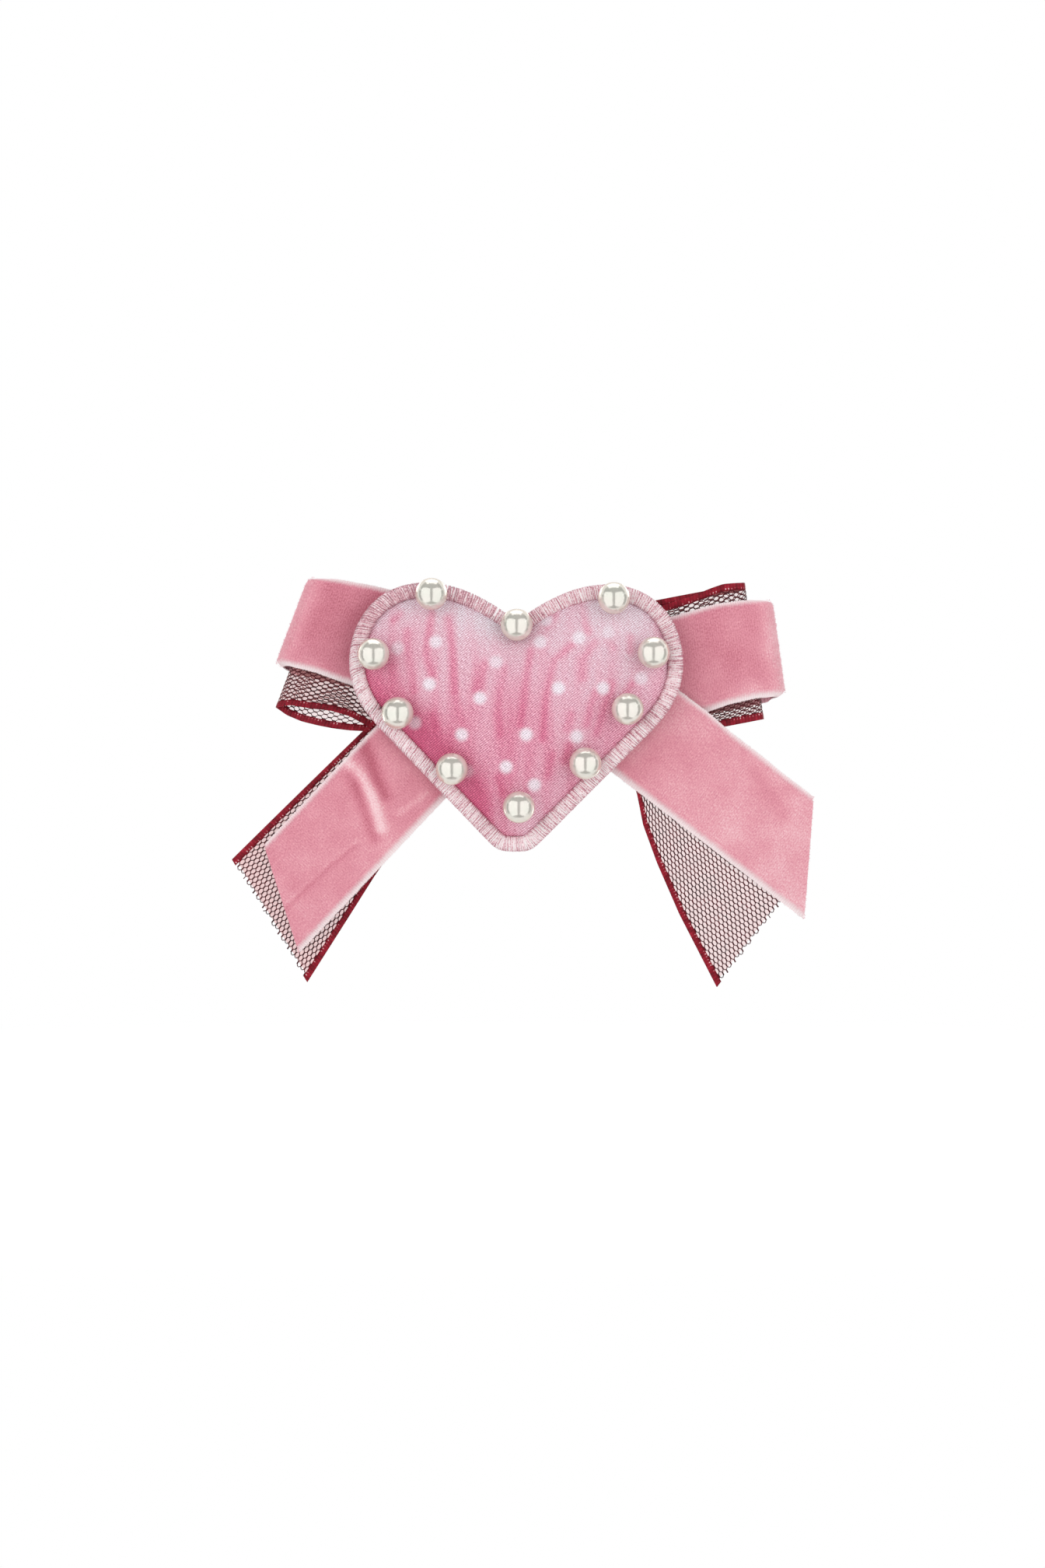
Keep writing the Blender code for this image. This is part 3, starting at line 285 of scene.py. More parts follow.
def satin_finish():
    """Printed polyester satin: a soft sheen over a fine twill with painted shade on its deeper threads, and a
    print from pale to deep pink with streaks and dots.
    """
    finish, tree, shader = new_finish(
        "printed satin", Roughness=0.42, Sheen_Weight=0.1, Sheen_Roughness=0.3, Specular_IOR_Level=0.22
    )
    place = add(tree, "TexCoord").outputs["Object"]
    # This attribute holds the print's ombre and also a painted shadow beside one pearl
    ombre = add(tree, "Attribute", attribute_name="ombre")
    dots = add(tree, "Attribute", attribute_name="dots")
    # Fainter streaks between the printed ones, about 2 mm wide and 25 mm long
    stretched = add(tree, "Mapping", {"Vector": place, "Scale": (1 / (4.2 * MM), 0.0, 1 / (26 * MM))})
    streaks = add(tree, "TexNoise", {"Vector": stretched, "Scale": 1.0, "Detail": 1.2, "Roughness": 0.5})
    swing = add(tree, "MapRange", {0: streaks, 1: 0.3, 2: 0.7, 3: -0.1, 4: 0.1})
    # Twill lines 0.48 mm apart one way and 0.62 mm the other, both broken up. Satin's own threads are finer,
    # and are drawn as coarse as they need to be to show
    turned = add(tree, "Mapping", {"Vector": place, "Rotation": (0.0, math.radians(-53.0), 0.0)})
    broken = {"Vector": turned, "Distortion": 2.2, "Detail": 1.5, "Detail Scale": 1.3}
    twill = add(tree, "TexWave", {**broken, "Scale": WAVE / (0.48 * MM)}, bands_direction="X")
    warp = add(tree, "TexWave", {**broken, "Scale": WAVE / (0.62 * MM)}, bands_direction="Z")
    # Slubs: short thick runs of thread along the twill
    drawn = add(tree, "Mapping", {"Vector": turned, "Scale": (1 / (0.21 * MM), 1.0, 1 / (0.7 * MM))})
    slub = add(tree, "TexNoise", {"Vector": drawn, "Scale": 1.0, "Detail": 1.5})
    crossed = add(tree, "Math", {0: warp.outputs[1], 1: 0.35, 2: twill.outputs[1]}, operation="MULTIPLY_ADD")
    thread = add(tree, "Math", {0: slub, 1: 3.0, 2: crossed}, operation="MULTIPLY_ADD")
    # Threads that lie deeper get painted shade: they are both darker and a deeper pink
    shade = add(tree, "MapRange", {0: thread, 1: 0.9, 2: 3.45, 3: 0.56, 4: 1.54})
    shade_tint = add(tree, "MapRange", {0: thread, 1: 0.9, 2: 3.45, 3: 0.36, 4: -0.36})
    tone = add(tree, "Math", {0: ombre.outputs["Fac"], 1: swing}, operation="ADD")
    depth = add(tree, "Math", {0: tone, 1: shade_tint}, operation="ADD")
    tones = ((0.0, "#E0D7E0"), (0.22, "#DFC1CD"), (0.48, "#DEA4B7"), (0.75, "#D57A97"), (1.0, "#C4567A"))
    color = add(tree, "ValToRGB", {0: depth}, tones)
    dotted = add(tree, "Mix", {0: dots.outputs["Fac"], 6: color, 7: linear("#EDE6EE")}, data_type="RGBA")
    woven = add(tree, "Mix", {0: 1.0, 6: dotted.outputs[2], 7: shade}, data_type="RGBA", blend_type="MULTIPLY")
    bump = add(tree, "Bump", {"Strength": 0.3, "Distance": 0.04 * MM, "Height": thread})
    feed(tree, shader, {"Base Color": woven.outputs[2], "Normal": bump})
    return finish


def embroidery_finish():
    """Rayon embroidery thread: pale pink with a silky gloss, each strand a little lighter or darker, with painted
    shade over the heart's top and where the thread dives in.
    """
    finish, tree, shader = new_finish(
        "rayon embroidery thread", Roughness=0.42, Sheen_Weight=0.25, Specular_IOR_Level=0.4
    )
    place = add(tree, "TexCoord").outputs["Object"]
    shade = add(tree, "TexNoise", {"Vector": place, "Scale": 1 / (0.3 * MM), "Detail": 2.0})
    strand = add(tree, "Attribute", attribute_name="strand")
    tone = add(tree, "Math", {0: shade, 1: 1.6, 2: strand.outputs["Fac"]}, operation="MULTIPLY_ADD")
    tones = ((0.0, "#B97F8D"), (0.24, "#DFA6B2"), (0.5, "#F9DDE3"), (0.85, "#FFF6F7"))
    color = add(tree, "ValToRGB", {0: tone}, tones)
    feed(tree, shader, {"Base Color": color})
    return finish


def pearl_finish():
    """Pearl lacquer over a moulded bead: a soft creamy half mirror under a clear gloss, warmer at the rim as a
    painted reflection of the pink satin around it.
    """
    gloss = {"Coat_Weight": 0.12, "Coat_Roughness": 0.1, "Coat_IOR": 1.5}
    finish, tree, shader = new_finish("pearl lacquer", Metallic=0.45, Roughness=0.18, IOR=1.35, **gloss)
    place = add(tree, "TexCoord").outputs["Object"]
    cloud = add(tree, "TexNoise", {"Vector": place, "Scale": 1 / (5 * MM), "Detail": 2.0})
    # Painted reflection: the colour turns warmer pink towards the rim as seen from the camera
    rim = add(tree, "LayerWeight", {"Blend": 0.3})
    tones = ((0.15, "#ECEBE7"), (0.5, "#E9E2D8"), (0.9, "#E6CAC2"))
    body = add(tree, "ValToRGB", {0: rim.outputs[1]}, tones)
    tint = add(tree, "ValToRGB", {0: cloud}, ((0.3, "#F6F7F1"), (0.7, "#FFF9F6")))
    color = add(tree, "Mix", {0: 1.0, 6: body, 7: tint}, data_type="RGBA", blend_type="MULTIPLY")
    feed(tree, shader, {"Base Color": color.outputs[2]})
    return finish


def steel_finish(name, low, high, roughness):
    """Rolled steel strip under thin plating: fine lines along the clip."""
    finish, tree, shader = new_finish(name, Metallic=1.0)
    place = add(tree, "TexCoord").outputs["Object"]
    drawn = add(tree, "Mapping", {"Vector": place, "Scale": (1 / (12 * MM), 1 / (0.2 * MM), 1 / (0.2 * MM))})
    lines = add(tree, "TexNoise", {"Vector": drawn, "Scale": 1.0, "Detail": 3.0})
    smudge = add(tree, "TexNoise", {"Vector": place, "Scale": 1 / (7 * MM), "Detail": 3.0})
    color = add(tree, "ValToRGB", {0: lines}, ((0.3, low), (0.7, high)))
    lowest, highest = roughness - 0.06, roughness + 0.1
    dull = add(tree, "MapRange", {0: smudge, 1: 0.3, 2: 0.7, 3: lowest, 4: highest})
    bump = add(tree, "Bump", {"Strength": 0.12, "Distance": 0.03 * MM, "Height": lines})
    feed(tree, shader, {"Base Color": color, "Roughness": dull, "Normal": bump})
    return finish


def felt_finish():
    """Pressed felt: matted fibres with no weave."""
    finish, tree, shader = new_finish("pressed felt", Roughness=0.95, Sheen_Weight=0.35, Specular_IOR_Level=0.1)
    place = add(tree, "TexCoord").outputs["Object"]
    fibres = add(tree, "TexNoise", {"Vector": place, "Scale": 1 / (0.5 * MM), "Detail": 6.0, "Distortion": 1.5})
    clumps = add(tree, "TexNoise", {"Vector": place, "Scale": 1 / (4 * MM), "Detail": 2.0})
    tone = add(tree, "Math", {0: clumps, 1: 0.3, 2: fibres}, operation="MULTIPLY_ADD")
    color = add(tree, "ValToRGB", {0: tone}, ((0.45, "#C98A98"), (0.65, "#D9A0AC"), (0.9, "#E8BBC4")))
    bump = add(tree, "Bump", {"Strength": 0.7, "Distance": 0.2 * MM, "Height": fibres})
    feed(tree, shader, {"Base Color": color, "Normal": bump})
    return finish


def thread_finish():
    """Spun sewing thread, twisted."""
    finish, tree, shader = new_finish("spun sewing thread", Roughness=0.7, Sheen_Weight=0.3)
    place = add(tree, "TexCoord").outputs["Object"]
    ply = add(tree, "TexWave", {"Vector": place, "Scale": WAVE / (0.4 * MM)}, bands_direction="DIAGONAL")
    color = add(tree, "ValToRGB", {0: ply.outputs[1]}, ((0.0, "#B86A7A"), (1.0, "#DC98A5")))
    feed(tree, shader, {"Base Color": color})
    return finish


VELVET = velvet_finish()
# Loose fibres: thin and pale, as they catch light from all sides
LOOSE = {"Roughness": 0.8, "Sheen_Weight": 0.3, "Specular_IOR_Level": 0.2}
FUZZ = mottled_finish("loose velvet pile", 1.5, "#E7A9B6", "#F3C6CE", 0.15, **LOOSE)
WEFT = mottled_finish("loose selvedge weft", 1.5, "#F1DCDF", "#FBF3F3", 0.15, **LOOSE)
GROUND = ground_finish()
# Dyed nylon: dark, slightly glossy
NYLON = {"Roughness": 0.5, "Specular_IOR_Level": 0.3}
NET_THREADS = mottled_finish("nylon net thread", 4.0, "#3C0913", "#611120", 0.2, **NYLON)
VOILE = sheer_finish("sheer voile", 0.38)
VOILE_DOUBLE = sheer_finish("sheer voile doubled over", 0.56)
VOILE_SINGLE = sheer_finish("sheer voile in a loop", 0.3)
VOILE_THIN = sheer_finish("sheer voile pulled thin", 0.16)
EDGE = edge_finish()
SATIN = satin_finish()
EMBROIDERY = embroidery_finish()
# The padding threads under the border's stitches, with no gloss, darker as painted shade in the gaps between
# stitches
UNDERLAY = mottled_finish("underlay thread", 0.5, "#B87686", "#D29BA8", 0.2, Roughness=0.7)
PEARL = pearl_finish()
NICKEL = steel_finish("nickel plated steel", "#B4B2AC", "#D2D0CA", 0.26)
SPRING = steel_finish("bright spring steel", "#8E9094", "#B2B4B8", 0.3)
FELT = felt_finish()
SEWING = thread_finish()


# Modelling


def only(piece):
    """Makes this the one selected and active object."""
    bpy.ops.object.select_all(action="DESELECT")
    piece.select_set(True)
    bpy.context.view_layer.objects.active = piece


def added(name):
    """The object that the last operator added, under its own name."""
    piece = bpy.context.object
    piece.name = name
    piece.data.name = name
    return piece


def begin(primitive, name, **settings):
    """Adds a primitive under its own name, with nothing else selected."""
    bpy.ops.object.select_all(action="DESELECT")
    primitive(**settings)
    return added(name)


def smooth(piece):
    only(piece)
    bpy.ops.object.shade_smooth()


@contextmanager
def editing(piece, by="VERT", chosen=None):
    """Edit mode, with all of a piece selected, or just the vertices or edges that a test chooses."""
    only(piece)
    bpy.ops.object.mode_set(mode="EDIT")
    bpy.ops.mesh.select_mode(type=by)
    bpy.ops.mesh.select_all(action="DESELECT" if chosen else "SELECT")
    if chosen:
        bpy.ops.object.mode_set(mode="OBJECT")
        for part in piece.data.vertices if by == "VERT" else piece.data.edges:
            part.select = chosen(part)
        bpy.ops.object.mode_set(mode="EDIT")
    yield
    bpy.ops.object.mode_set(mode="OBJECT")


def face_front(piece):
    """Turns a piece of cloth over if it faces backwards."""
    if piece.data.polygons[0].normal.y > 0:
        with editing(piece):
            bpy.ops.mesh.flip_normals()


def upright(flat, depth):
    """Places in space from places seen from the front and their depth."""
    return np.stack([flat[..., 0], np.broadcast_to(depth, flat.shape[:-1]), flat[..., 1]], -1)


def points_of(piece):
    found = np.empty(len(piece.data.vertices) * 3)
    piece.data.vertices.foreach_get("co", found)
    return found.reshape(-1, 3)


def set_points(piece, points):
    piece.data.vertices.foreach_set("co", np.ascontiguousarray(points, np.float32).ravel())
    piece.data.update()


def vertex_normals(piece):
    found = np.empty(len(piece.data.vertices) * 3, np.float32)
    piece.data.vertex_normals.foreach_get("vector", found)
    return found.reshape(-1, 3)


def set_values(piece, name, values):
    """A number for each point, which a material reads by this name."""
    attribute = piece.data.attributes.new(name, "FLOAT", "POINT")
    attribute.data.foreach_set("value", np.ascontiguousarray(values, np.float32))


def set_group(piece, name, weights):
    """A named weight for each point, which a modifier reads."""
    group = piece.vertex_groups.new(name=name)
    for index, value in enumerate(weights):
        group.add([index], float(value), "REPLACE")


def apply_modifier(piece, kind, **settings):
    only(piece)
    change = piece.modifiers.new(kind.lower(), kind)
    for key, value in settings.items():
        setattr(change, key, value)
    bpy.ops.object.modifier_apply(modifier=change.name)


def round_edges(piece, width):
    """Rounds the edges of a cut piece of cloth."""
    apply_modifier(piece, "BEVEL", width=width * MM, segments=2, limit_method="ANGLE", angle_limit=BEVELLED)


def dress(piece, paint, slot, *nodes):
    """Gives a piece its finish and its place on the bow, and hides the solids that it stands for."""
    if paint:
        piece.data.materials.clear()
        piece.data.materials.append(paint)
    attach(piece, ROOT)
    if nodes:
        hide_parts(*nodes)
    return piece


def smooth_step(x):
    x = np.clip(x, 0.0, 1.0)
    return x * x * (3 - 2 * x)


def line_strength(x, z, line, width):
    """How close each place is to a line: 1 on it, fading out over this width."""
    near = np.zeros_like(x)
    for (x0, z0), (x1, z1) in zip(line, line[1:]):
        run = np.array([x1 - x0, z1 - z0])
        share = np.clip(((x - x0) * run[0] + (z - z0) * run[1]) / (run @ run), 0.0, 1.0)
        off = np.hypot(x - x0 - share * run[0], z - z0 - share * run[1])
        near = np.maximum(near, np.exp(-((off / width) ** 2)))
    return near


def threads(name, paths, radius, sides=4, taper=None):
    """Round threads along these paths, in millimetres, as one mesh.
    A taper gives each point's share of the radius."""
    curve = bpy.data.curves.new(name, "CURVE")
    curve.dimensions = "3D"
    curve.bevel_depth = radius * MM
    curve.bevel_resolution = (sides - 4) // 2
    curve.use_fill_caps = True
    for path in paths:
        spline = curve.splines.new("POLY")
        spline.points.add(len(path) - 1)
        rows = np.ones((len(path), 4))
        rows[:, :3] = np.asarray(path) * MM
        spline.points.foreach_set("co", rows.ravel())
        if taper is not None:
            spline.points.foreach_set("radius", np.ascontiguousarray(taper, np.float32))
    piece = bpy.data.objects.new(name, curve)
    bpy.context.scene.collection.objects.link(piece)
    only(piece)
    bpy.ops.object.convert(target="MESH")
    piece = added(name)
    bpy.ops.object.shade_smooth()
    return piece


# Ribbons


def drape(x, z):
    """How far a ribbon has curved back at this place."""
    return np.maximum(np.hypot(x, z) - DRAPE_START, 0.0) ** 2 / (2 * DRAPE_RADIUS)


def between(across, half, edges, out):
    """How far a ribbon's sides are off straight, shared out over its width."""
    if not edges:
        return 0.0
    at, lower, upper = edges
    share = across / (2 * half) + 0.5
    return np.interp(out, at, lower) * (1 - share) + np.interp(out, at, upper) * share


class Loop:
    """A looped ribbon: a front layer, a rounded fold at the outer end and a back layer."""

    # Points along the front layer, round the fold and along the back layer
    FRONT_POINTS, FOLD_POINTS, BACK_POINTS = 40, 30, 60

    def __init__(
        self, side, reach, height, tilt, slant, flare, depths, width, setback=0.0, drop=0.0, edges=(), corners=(),
        paler=0.0, darker=0.0,
    ):
        tilt, slant = math.radians(tilt), math.radians(slant)
        front, back = depths
        self.half = width / 2
        self.start = (side * LOOP_INNER, height)
        self.axis = (side * math.cos(tilt), math.sin(tilt))
        self.fold = (-side * math.sin(tilt + slant), math.cos(tilt + slant))
        self.stretch = 1 / math.cos(slant)
        self.drop = drop
        self.edges = edges
        self.corners = corners
        # Painted sheen at the fold and along the lower strip, and painted shade towards the heart
        self.paler = paler
        self.darker = darker
        self.fold_start = reach - setback - FOLD
        flare_start = (FLARE_START - LOOP_INNER) / math.cos(tilt)

        def back_depth(out):
            past = np.maximum(out - flare_start, 0.0)
            return back + math.tan(math.radians(flare)) * past**2 / (past + FLARE_EASE)

        front_out = np.linspace(0.0, self.fold_start, self.FRONT_POINTS)
        turn = np.linspace(0.0, math.pi, self.FOLD_POINTS)[1:-1]
        back_out = np.linspace(self.fold_start, 0.0, self.BACK_POINTS)
        fold_back = back_depth(self.fold_start)
        fold_depth = (front + fold_back) / 2 - (fold_back - front) / 2 * np.cos(turn)
        self.out = np.concatenate([front_out, self.fold_start + FOLD * np.sin(turn), back_out])
        self.depth = np.concatenate([np.full_like(front_out, front), fold_depth, back_depth(back_out)])
        self.layer = np.concatenate([np.zeros_like(front_out), turn / math.pi, np.ones_like(back_out)])
        steps = np.hypot(np.diff(self.out), np.diff(self.depth))
        self.along = np.concatenate([[0.0], np.cumsum(steps)])
        self.length = self.along[-1]

    def limit(self, across):
        return np.full_like(across, self.length)

    def place(self, along, across):
        out = np.interp(along, self.along, self.out)
        depth = np.interp(along, self.along, self.depth)
        layer = smooth_step(np.interp(along, self.along, self.layer))
        shift = 0.0
        if self.edges:
            shift = between(across, self.half, self.edges[0], out) * (1 - layer)
            shift = shift + between(across, self.half, self.edges[1], out) * layer
        if self.corners:
            # The fold's two corners are rounded: lower, then upper
            for radius, left in zip(self.corners, (across + self.half, self.half - across)):
                gap = np.clip(radius - left, 0.0, radius)
                bite = radius - np.sqrt(radius**2 - gap**2)
                out = out - bite * smooth_step((out - self.fold_start + 2 * FOLD) / (3 * FOLD))
        width = across * self.stretch - self.drop + shift
        x = self.start[0] + self.axis[0] * out + self.fold[0] * width
        z = self.start[1] + self.axis[1] * out + self.fold[1] * width
        return np.stack([x, depth + drape(x, z), z], -1)

    def nap_and_painted_light(self, along, across, points):
        """Painted light on the pile: paler at the fold, a painted sheen, and over a strip along the lower side,
        and darker towards the heart, painted shade."""
        strip, near_fold, heart_end, heart_fade = 6.5, 3.0, 44.0, 10.0
        out = np.interp(along, self.along, self.out)
        at_fold = smooth_step((out - self.fold_start + near_fold) / (FOLD + near_fold))
        low = smooth_step((strip - self.half - across) / strip)
        shaded = self.darker * (1 + smooth_step((heart_end - out) / heart_fade))
        return self.paler * np.maximum(at_fold, 0.6 * low) - shaded


class Tail:
    """A hanging end of ribbon with a slanting cut."""

    def __init__(
        self, side, start, length, fall, cut, depth, width, gathered=None, edges=(), creases=(), brushed=(0.0, 0.0)
    ):
        fall = math.radians(fall)
        self.half = width / 2
        self.start = start
        self.length = length
        self.axis = (side * math.cos(fall), -math.sin(fall))
        self.side = (side * math.sin(fall), math.cos(fall))
        self.cut = math.tan(math.radians(cut))
        self.depth = depth
        self.gather = (gathered or width) / width
        self.edges = edges
        self.creases = creases
        # Painted light along the tail: darker near the heart as painted shade, lighter towards its end
        self.brushed = brushed

    def limit(self, across):
        return self.length - self.cut * across

    def place(self, along, across):
        share = along / self.limit(across)
        width = across * (self.gather + (1 - self.gather) * share)
        width = width + between(across, self.half, self.edges, along)
        x = self.start[0] + self.axis[0] * along + self.side[0] * width
        z = self.start[1] + self.axis[1] * along + self.side[1] * width
        lift = self.creased(x, z)[1]
        return np.stack([x, self.depth + drape(x, z) - lift, z], -1)

    def nap_and_painted_light(self, along, across, points):
        return self.creased(points[:, 0], points[:, 2])[0]

    def creased(self, x, z):
        """The pile's tone from the creases and along the tail, painted highlight and painted shade, and how high
        the creases stand.
        """
        out = ((x - self.start[0]) * self.axis[0] + (z - self.start[1]) * self.axis[1]) / self.length
        brushed = self.brushed[0] + (self.brushed[1] - self.brushed[0]) * out
        lift = np.zeros_like(x)
        for line, width, tone, height in self.creases:
            ridge = line_strength(x, z, line, width)
            brushed += tone * ridge
            lift += height * ridge
        return brushed, lift


def ribbon_grid(name, shape, low, high, along_steps, across_steps, short=0.0):
    """A strip of cloth over a ribbon's shape, with its length and width in its UV map."""
    steps = {"x_subdivisions": along_steps, "y_subdivisions": across_steps}
    piece = begin(bpy.ops.mesh.primitive_grid_add, name, size=1.0, **steps)
    grid = points_of(piece)
    across = low + (high - low) * (grid[:, 1] + 0.5)
    along = (grid[:, 0] + 0.5) * (shape.limit(across) - short)
    set_points(piece, shape.place(along, across) * MM)
    corners = np.empty(len(piece.data.loops), np.int32)
    piece.data.loops.foreach_get("vertex_index", corners)
    uv = np.stack([along, across], -1)[corners] * MM
    piece.data.uv_layers.active.data.foreach_set("uv", uv.astype(np.float32).ravel())
    face_front(piece)
    return piece, along, across


def fibres(name, paint, shape, along, across, depth, lean, lengths):
    """Short loose fibres on a ribbon: where they stand, how deep in the pile, and which way they lean on the
    whole (along, across, out), each a little off that."""
    step = 0.05
    spot = shape.place(along, across)
    forward = shape.place(along + step, across) - shape.place(along - step, across)
    aside = shape.place(along, across + step) - shape.place(along, across - step)
    out = np.cross(forward, aside)
    # The outer face is the front one where the ribbon starts
    corner = shape.place(1.0, 0.0)
    first = np.cross(shape.place(2.0, 0.0) - corner, shape.place(1.0, 1.0) - corner)
    out *= -np.sign(first[1])
    axes = [v / np.linalg.norm(v, axis=-1, keepdims=True) for v in (forward, aside, out)]
    away = sum(axis * (share + FIBRE_STRAY * draw.normal(size=(len(spot), 1))) for axis, share in zip(axes, lean))
    away /= np.linalg.norm(away, axis=-1, keepdims=True)
    root = spot + axes[2] * depth
    tip = root + away * draw.uniform(*lengths, (len(spot), 1))
    piece = threads(name, np.stack([root, tip], 1), FIBRE, 4, FIBRE_TAPER)
    return dress(piece, paint, "velvet")


def loose_fibres(name, shape):
    """Loose weft along a ribbon's selvedges, and loose pile over a loop's fold or at a tail's cut end."""
    half = VELVET_WIDTH / 2
    count = int(shape.length * FIBRES_PER_MM)
    across = np.repeat((-half, half), count)
    along = draw.uniform(0.01, 0.99, 2 * count) * shape.limit(across)
    sides = np.sign(across)[:, None]
    weft = fibres(name + "_weft", WEFT, shape, along, across, SELVEDGE_DEPTH, (0.0, sides, 0.1), WEFT_LENGTHS)
    if isinstance(shape, Loop):
        turn = np.flatnonzero((shape.layer > 0.1) & (shape.layer < 0.9))
        count = int(VELVET_WIDTH * FOLD * FIBRES_PER_FOLD)
        along = draw.uniform(*shape.along[turn[[0, -1]]], count)
        across = draw.uniform(-half + FOLD_PILE_INSET, half - FOLD_PILE_INSET, count)
        depth, lean, lengths = PILE_DEPTH, (0.0, 0.0, 1.0), FOLD_PILE_LENGTHS
    else:
        across = draw.uniform(-half, half, int(VELVET_WIDTH * FIBRES_PER_END))
        along = shape.limit(across)
        depth = draw.uniform(SELVEDGE_DEPTH, PILE_DEPTH, (len(across), 1))
        lean, lengths = (1.0, 0.0, 0.0), END_PILE_LENGTHS
    return [weft, fibres(name + "_fuzz", FUZZ, shape, along, across, depth, lean, lengths)]


def velvet_ribbon(name, shape, along_steps):
    """A velvet ribbon: pile on the outer face, a thin woven selvedge along each side, a plain back."""
    half = VELVET_WIDTH / 2
    piece, along, across = ribbon_grid(name + "_ribbon", shape, -half, half, along_steps, VELVET_STEPS)
    flat = points_of(piece)
    set_values(piece, "nap_and_painted_light", shape.nap_and_painted_light(along, across, flat / MM))
    full = smooth_step((half - np.abs(across) - PILE_START) / PILE_RISE)
    height = VELVET_GROUND + (VELVET_PILE - VELVET_GROUND) * full
    set_points(piece, flat + vertex_normals(piece) * ((height - VELVET_PILE / 2) * MM)[:, None])
    set_group(piece, "pile", height / VELVET_PILE)
    piece.data.materials.append(VELVET)
    piece.data.materials.append(GROUND)
    apply_modifier(
        piece,
        "SOLIDIFY",
        thickness=VELVET_PILE * MM,
        offset=-1.0,
        vertex_group="pile",
        thickness_vertex_group=0.0,
        material_offset=1,
    )
    only(piece)
    bpy.ops.object.shade_smooth_by_angle(angle=CRISP)
    dress(piece, None, "velvet", name)
    loose_fibres(name, shape)


def net_paths(shape):
    """The net's threads: each wanders from cell to cell along the ribbon, two lying together between cells."""
    half = NET_WIDTH / 2 - NET_BAND + NET_UNDER
    rise = CELL_ROW / 3
    rows = int(shape.limit(np.array([-half, half])).max() / CELL_ROW) + 2
    paths = []
    for column in range(int(2 * half / CELL_ACROSS) + 2):
        for lean in (-1, 1):
            along = []
            across = []
            for row in range(rows):
                odd = row % 2
                middle = -half + (column + 0.5 * lean * odd) * CELL_ACROSS
                side = middle + lean * (1 - 2 * odd) * NET_TWIN * NET_THREAD
                along += [row * CELL_ROW - rise, row * CELL_ROW + rise]
                across += [side, side]
            along = np.array(along)
            across = np.array(across)
            kept = (np.abs(across) < half + 0.01) & (along > 0) & (along < shape.limit(across))
            for run in np.split(np.arange(len(along)), np.flatnonzero(~kept)):
                run = run[kept[run]]
                if len(run) > 1:
                    paths.append(shape.place(along[run], across[run]))
    return paths


def net_ribbon(name, shape, along_steps, film):
    """A net ribbon: open hexagonal net on sheer voile, with a woven satin band along each side."""
    half = NET_WIDTH / 2
    inside = half - VOILE_INSET
    voile = ribbon_grid(name + "_voile", shape, -inside, inside, along_steps, VOILE_STEPS, VOILE_SHORT)[0]
    smooth(voile)
    dress(voile, film, "net")
    mesh = threads(name + "_threads", net_paths(shape), NET_THREAD)
    dress(mesh, NET_THREADS, "net", name)
    bands = [mesh]
    for word, side in (("lower", -1), ("upper", 1)):
        low, high = sorted((side * half, side * (half - NET_BAND)))
        band = ribbon_grid(f"{name}_{word}_band", shape, low, high, along_steps, BAND_STEPS)[0]
        apply_modifier(band, "SOLIDIFY", thickness=BAND_THICKNESS * MM, offset=0.0)
        round_edges(band, BAND_ROUNDING)
        smooth(band)
        dress(band, EDGE, "burgundy_edge", f"{name}_{word}_edge")
        # A single warp thread runs beside the band, a little apart from it
        runs = np.linspace(0.0, 1.0, along_steps * 2)
        beside = np.full_like(runs, side * (half - NET_EDGE))
        path = shape.place(runs * shape.limit(beside), beside)
        warp = threads(f"{name}_{word}_warp", [path], WARP_RADIUS, 6)
        dress(warp, EDGE, "burgundy_edge")
        bands += [band, warp]


# Side, reach, height, tilt, slant and flare of the two loops
LEFT_LOOP = (-1, 52.8, -1.2, 14.0, 6.7, 31.0)
RIGHT_LOOP = (1, 61.9, -6.5, 11.0, -3.0, 13.2)
# How far the ribbons' sides are off straight: distances along, then the lower and the upper side.
# A loop has these for its front layer and its back layer
LEFT_VELVET_SIDES = (((30, 37, 43, 53), (0.3, 0.85, 1.5, 1.4), (1.1, 1.1, 0.7, 0)), ())
RIGHT_VELVET_SIDES = (
    ((36, 42, 48, 55, 62), (-0.6, -0.3, 0.6, 0.8, 0.1), (-0.1, 0.4, 0.9, 0.5, 0)),
    ((36, 42, 48, 55, 62), (-0.6, -0.8, -0.8, -0.7, -0.2), (-0.1, 0.2, 0.4, 0.3, 0)),
)
LEFT_NET_SIDES = (
    (
        (0, 25.7, 30.8, 35.8, 40.9, 45.8, 49.2),
        (0, 1.1, 2.4, 2.6, 1.9, 1.5, 0.3),
        (0, -0.5, -1.5, -1.5, -1.5, -1.5, -1.5),
    ),
    ((0, 25.7, 29.7, 33.8, 37.8, 41.8, 45.8, 49.2), (0, -0.3, -1.1, -1.6, -1.8, -1.8, -1.2, -0.2), (-1.5,) * 8),
)
RIGHT_NET_SIDES = (((0, 34.5, 42.1, 47.6, 50.5, 55), (0,) * 6, (0, -1.6, -0.7, 0.4, 0.8, 0.3)), ())
LEFT_NET_TAIL_SIDES = ((0, 62, 75, 94), (1.5, 1.4, 0.8, 0), (0,) * 4)
RIGHT_NET_TAIL_SIDES = ((0, 42, 50, 60, 74, 95), (2, 2.8, 0.7, -0.25, -0.7, 0), (0,) * 6)
RIGHT_TAIL_SIDES = ((35, 45, 53, 61, 70, 96), (-0.5, -0.6, -0.7, -0.8, -0.9, -1.1), (0.9, 0.9, 0.3, 0.3, 0, 0))
